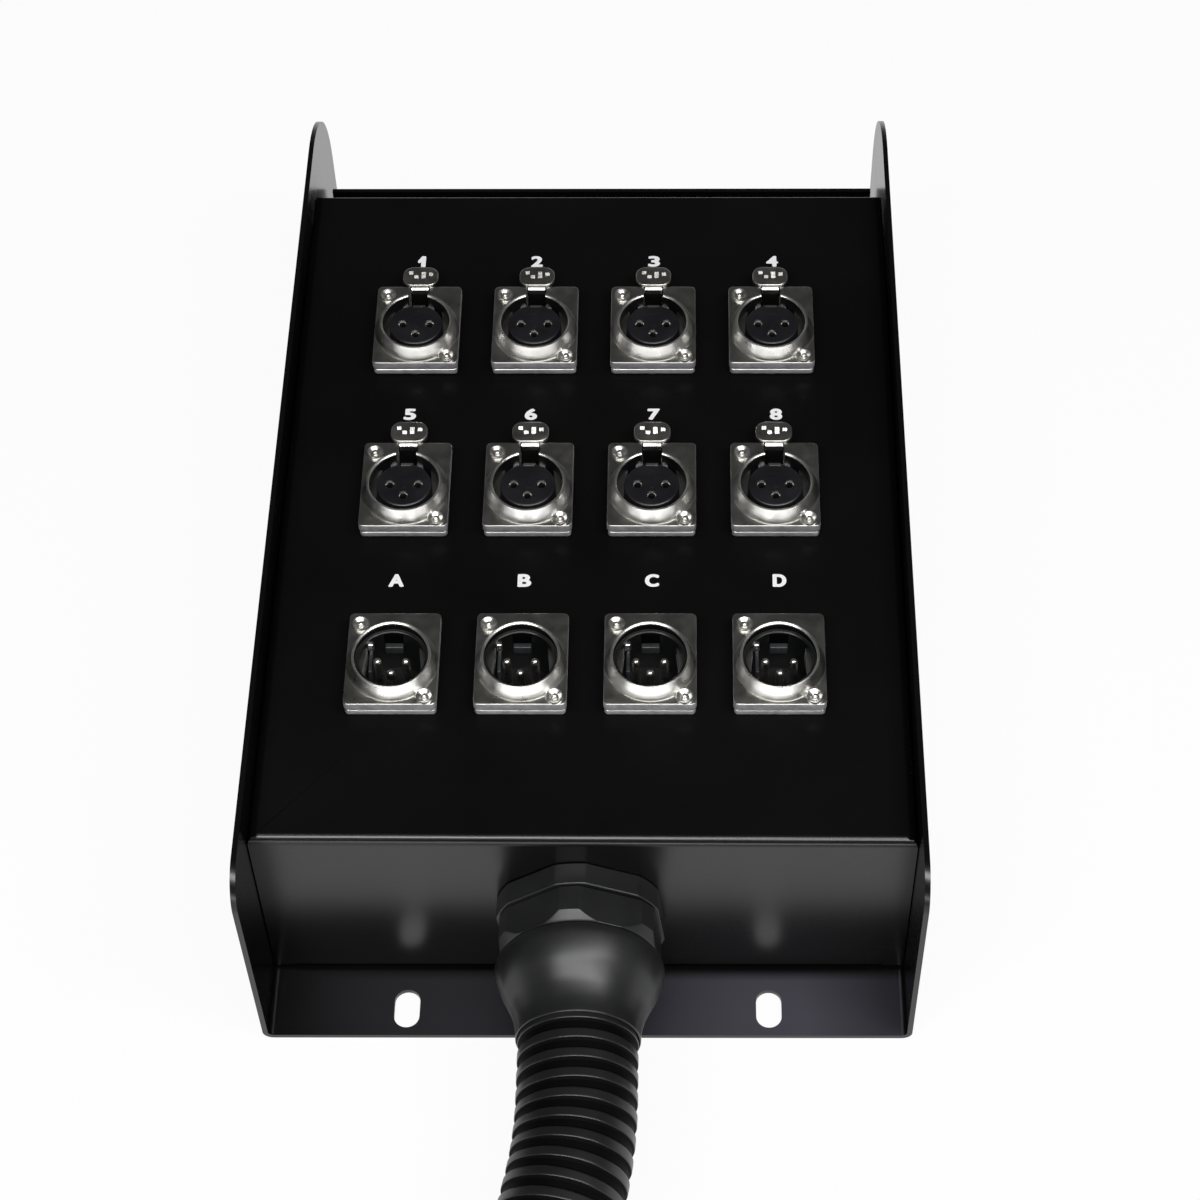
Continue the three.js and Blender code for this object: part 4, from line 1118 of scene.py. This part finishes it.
def push_tab():
    """A latch's tab: a plate with raised wedges, a bent strip under it and a hook in front."""
    z_top = FLANGE_TOP + 0.8
    z_low = z_top - 1.8
    bend = [
        (15.2, 2.6), (15.9, 2.6), (TAB_EDGE, z_low), (TAB_EDGE + 1, z_low),
        (TAB_EDGE + 1, z_top - 0.5), (16.5, z_top - 0.5), (TAB_EDGE, z_top - 0.42),
        (16.05, z_top - 0.5), (15.4, z_top - 0.86), (15.2, z_top - 1.1),
    ]
    flat = [(8.9, 2.6), (15.2, 2.6), (15.2, 3.7), (8.9, 3.7)]
    hook = [(7.8, 2.6), (8.9, 2.6), (8.9, 5.2), (8.15, 5.2), (7.9, 5.1), (7.8, 4.9)]
    parts = [
        # The strip's bend takes the brighter nickel, as painted highlight.
        (*prism(bend, -TAB_WIDTH, TAB_WIDTH), NICKEL_PAINTED_HIGHLIGHT),
        # The strip's flat part is near black, as painted shade.
        (*prism(flat, -TAB_WIDTH, TAB_WIDTH), PAINTED_SHADE_BLACK),
        (*prism(hook, -HOOK_WIDTH, HOOK_WIDTH), NICKEL),
        (*slab(11.0, 8.0, 3.2, z_low, z_top, 0.5, 0, TAB_EDGE + 4.0), TAB),
    ]
    # The raised wedges take the brighter nickel, as painted highlight.
    for x, start in ((-3.6, 4.6), (-1.9, 2.9), (0.3, 3.0), (0.3, 4.3), (2.6, 4.0)):
        near = TAB_EDGE + start
        wedge = [
            (near, z_top - 0.1), (near + 1.05, z_top - 0.1), (near + 1.05, z_top + 0.4),
            (near + 0.9, z_top + 0.46), (near, z_top - 0.02),
        ]
        parts.append((*prism(wedge, x, x + 1.3), NICKEL_PAINTED_HIGHLIGHT))
    return parts


def plug_insert():
    """A black cup with a pale rim, a key strip, three pins and the earth contact."""
    y = 1.0 - SET_FORWARD
    top = COLLAR_TOP - 1.6
    cup = [
        (10.2, -12.5), (10.2, top - 0.3), (10.05, top), (9.6, top), (9.3, top - 0.25),
        (9.3, -8.5), (0.01, -8.5), (0.01, -12.5),
    ]
    rim = [(10.22, top - 0.9), (10.22, top - 0.02), (9.75, top - 0.02), (9.75, top - 0.9)]
    pin = [
        (1.2, -8.6), (1.2, 6.3), (1.14, 6.75), (0.95, 7.2), (0.65, 7.5), (0.3, 7.66), (0.01, 7.7),
    ]
    parts = [
        turned(cup, 0, y, INSERT_SIDES, closed=True),
        (*turned(rim, 0, y, INSERT_SIDES, closed=True), RIM),
        # The key strip is near black, as painted shade.
        (*box_part(-2.7, 2.7, y + 8.8, y + 9.28, 3.6, top - 0.6, 0.05), PAINTED_SHADE_BLACK),
        (*box_part(-2.6, 2.6, y + 7.3, y + 9.25, 0.6, 3.5, 0.4), RIM),
    ]
    for cx, cy in contact_places(PLUG_CIRCLE, y):
        parts.append((*turned(pin, cx, cy, CONTACT_SIDES), CONTACT))
    parts.append((*box_part(-6.7, -5.7, y - 2.0, y + 5.6, -3.0, 4.6, 0.25), RIM))
    parts.append((*box_part(-7.3, -5.4, y + 5.7, y + 7.6, 3.6, 6.6, 0.6), CONTACT))
    return parts


tab_channel = box_part(-3.0, 3.0, -SET_FORWARD, 18.0, 1.4, 12.0, 0.05)
socket_shell_parts = shell_parts(SOCKET_MOUTH, SOCKET_BACK, tab_channel)
socket_insert_parts = socket_insert()
push_tab_parts = push_tab()
plug_shell_parts = shell_parts(PLUG_MOUTH, PLUG_BACK)
plug_insert_parts = plug_insert()

for row in range(3):
    for column in range(4):
        place = (COLUMNS[column], ROWS[row], COVER_TOP)
        if row < 2:
            number = row * 4 + column + 1
            shell = build("socket_%d" % number, socket_shell_parts, NICKEL, place=place)
            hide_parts("socket_shell_%d" % number)
            insert = build(
                "socket_contacts_%d" % number, socket_insert_parts, INSERT, place=place,
            )
            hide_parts("socket_insert_%d" % number)
            tab = build(
                "release_tab_%d" % number, push_tab_parts, NICKEL, "tab_%d" % number, place,
            )
            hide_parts("push_tab_%d" % number)
        else:
            letter = "ABCD"[column]
            shell = build("plug_%s" % letter, plug_shell_parts, NICKEL, place=place)
            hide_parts("plug_shell_%s" % letter)
            insert = build(
                "plug_contacts_%s" % letter, plug_insert_parts, DEEP, place=place,
            )
            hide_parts("plug_insert_%s" % letter)


# ---------------------------------------- marks
MARK_WEIGHT = 0.26
MARK_ACROSS = 1.35 * MARK_WEIGHT
MARK_COPIES = 12
MARK_SHIFTS = ((-0.74, -0.65, 0.02, 0.99), (-0.92, -0.55, 0.30, 1.03), (-1.24, -0.42, 0.23, 0.84))
MARK_BEHIND = (32.85, 32.7, 32.75)
MARK_HEIGHTS = (4.75, 4.55, 4.7)
MARK_WIDTH = 3.75
MARK_WIDTHS = {"1": 2.5, "A": 4.5, "B": 3.95, "C": 4.1, "D": 4.0}


def letter_mesh(text):
    """A letter in the plain built-in font, as flat faces."""
    curve = bpy.data.curves.new("mark", "FONT")
    curve.body = text
    curve.size = 1.0
    holder = bpy.data.objects.new("mark_source", curve)
    bpy.context.scene.collection.objects.link(holder)
    bpy.context.view_layer.update()
    drawn = holder.evaluated_get(bpy.context.evaluated_depsgraph_get())
    letter = bpy.data.meshes.new_from_object(drawn)
    bpy.data.objects.remove(holder)
    return letter


def mark(text, x, y, height, width):
    """A plain bold mark printed on the panel: a letter's shape and close copies of it."""
    w, h = width / 2 - MARK_ACROSS, height / 2 - MARK_WEIGHT
    if text == "1":
        # The font's own figure is too slight to be drawn this bold: a stem and a short flag.
        polygons = [[0, 1, 2, 6], [2, 3, 4, 5, 6]]
        flat = [
            (0.15 * w, -h), (w, -h), (w, h), (0.3 * w, h), (-w, 0.13 * h), (-w, -0.2 * h),
            (0.15 * w, 0.015 * h),
        ]
    else:
        letter = letter_mesh(text)
        polygons = [list(p.vertices) for p in letter.polygons]
        xs = [v.co.x for v in letter.vertices]
        ys = [v.co.y for v in letter.vertices]
        scale_x, scale_y = 2 * w / (max(xs) - min(xs)), 2 * h / (max(ys) - min(ys))
        mid_x, mid_y = (max(xs) + min(xs)) / 2, (max(ys) + min(ys)) / 2
        flat = [((v.co.x - mid_x) * scale_x, (v.co.y - mid_y) * scale_y) for v in letter.vertices]
    parts = []
    for k in range(MARK_COPIES + 1):
        a = 2 * math.pi * k / MARK_COPIES
        last = k == MARK_COPIES
        dx, dy = (0.0, 0.0) if last else (MARK_ACROSS * math.cos(a), MARK_WEIGHT * math.sin(a))
        parts.append(([(px + dx, py + dy, 0.05 + 0.002 * k) for px, py in flat], polygons))
    build("mark_%s" % text, parts, MARK, place=(x, y, COVER_TOP))


for row, texts in enumerate(("1234", "5678", "ABCD")):
    for column, text in enumerate(texts):
        x = COLUMNS[column] + MARK_SHIFTS[row][column]
        y = ROWS[row] + MARK_BEHIND[row]
        mark(text, x, y, MARK_HEIGHTS[row], MARK_WIDTHS.get(text, MARK_WIDTH))


# ---------------------------------------- floor and light
FLOOR_DROP = 0.0002
FLOOR_GLOW = 0.93


def make_floor():
    """Pale and plain, and white where the camera sees it directly or in a mirror."""
    mat = bpy.data.materials.new("pale_floor")
    mat.use_nodes = True
    tree = mat.node_tree
    tree.nodes.clear()
    out = tree.nodes.new("ShaderNodeOutputMaterial")
    mix = tree.nodes.new("ShaderNodeMixShader")
    diffuse = tree.nodes.new("ShaderNodeBsdfDiffuse")
    diffuse.inputs["Color"].default_value = (0.8, 0.8, 0.8, 1)
    glow = tree.nodes.new("ShaderNodeEmission")
    glow.inputs["Color"].default_value = (1, 1, 1, 1)
    ray = tree.nodes.new("ShaderNodeLightPath").outputs
    seen = combine(tree, "MAXIMUM", ray["Is Camera Ray"], ray["Is Glossy Ray"])
    seen = combine(tree, "MAXIMUM", seen, ray["Is Transmission Ray"])
    tree.links.new(combine(tree, "MULTIPLY", seen, FLOOR_GLOW), mix.inputs["Fac"])
    tree.links.new(diffuse.outputs[0], mix.inputs[1])
    tree.links.new(glow.outputs[0], mix.inputs[2])
    tree.links.new(mix.outputs[0], out.inputs["Surface"])
    return mat


floor_mesh = bpy.data.meshes.new("floor")
floor_mesh.from_pydata([(-6, -6, 0), (6, -6, 0), (6, 6, 0), (-6, 6, 0)], [], [[0, 1, 2, 3]])
floor_mesh.materials.append(make_floor())
floor = bpy.data.objects.new("floor", floor_mesh)
floor.location.z = -FLOOR_DROP
bpy.context.scene.collection.objects.link(floor)

# A grey room, lighter below, that the camera sees as white
world = bpy.data.worlds.new("studio")
bpy.context.scene.world = world
world.use_nodes = True
tree = world.node_tree
tree.nodes.clear()
world_out = tree.nodes.new("ShaderNodeOutputWorld")
room = tree.nodes.new("ShaderNodeBackground")
white = tree.nodes.new("ShaderNodeBackground")
white.inputs["Color"].default_value = (1, 1, 1, 1)
upward = split_vector(tree, "ShaderNodeTexCoord", "Generated")["Z"]
height = spread(tree, upward, 0.0, 1.0, -1.0, 1.0)
grey = color_ramp(tree, height, (0.30, 0.30, 0.30), (0.045, 0.045, 0.046), 0.50, 0.74)
path = tree.nodes.new("ShaderNodeLightPath")
choose = tree.nodes.new("ShaderNodeMixShader")
tree.links.new(grey, room.inputs["Color"])
tree.links.new(path.outputs["Is Camera Ray"], choose.inputs["Fac"])
tree.links.new(room.outputs[0], choose.inputs[1])
tree.links.new(white.outputs[0], choose.inputs[2])
tree.links.new(choose.outputs[0], world_out.inputs["Surface"])


def area_light(name, at, target, size, power):
    data = bpy.data.lights.new(name, "AREA")
    data.shape = "RECTANGLE"
    data.size, data.size_y = size
    data.energy = power
    light = bpy.data.objects.new(name, data)
    light.location = at
    light.rotation_euler = (Vector(target) - Vector(at)).to_track_quat("-Z", "Y").to_euler()
    bpy.context.scene.collection.objects.link(light)


# One light above and in front, and a long low one for the faces that look forward
area_light("top_soft", (0.12, -0.62, 1.20), (0, -0.06, 0.06), (1.9, 0.36), 23)
area_light("front_low", (0.0, -1.9, 0.17), (0, -0.1, 0.08), (5.4, 0.30), 22)

bpy.context.scene.view_settings.view_transform = "Standard"
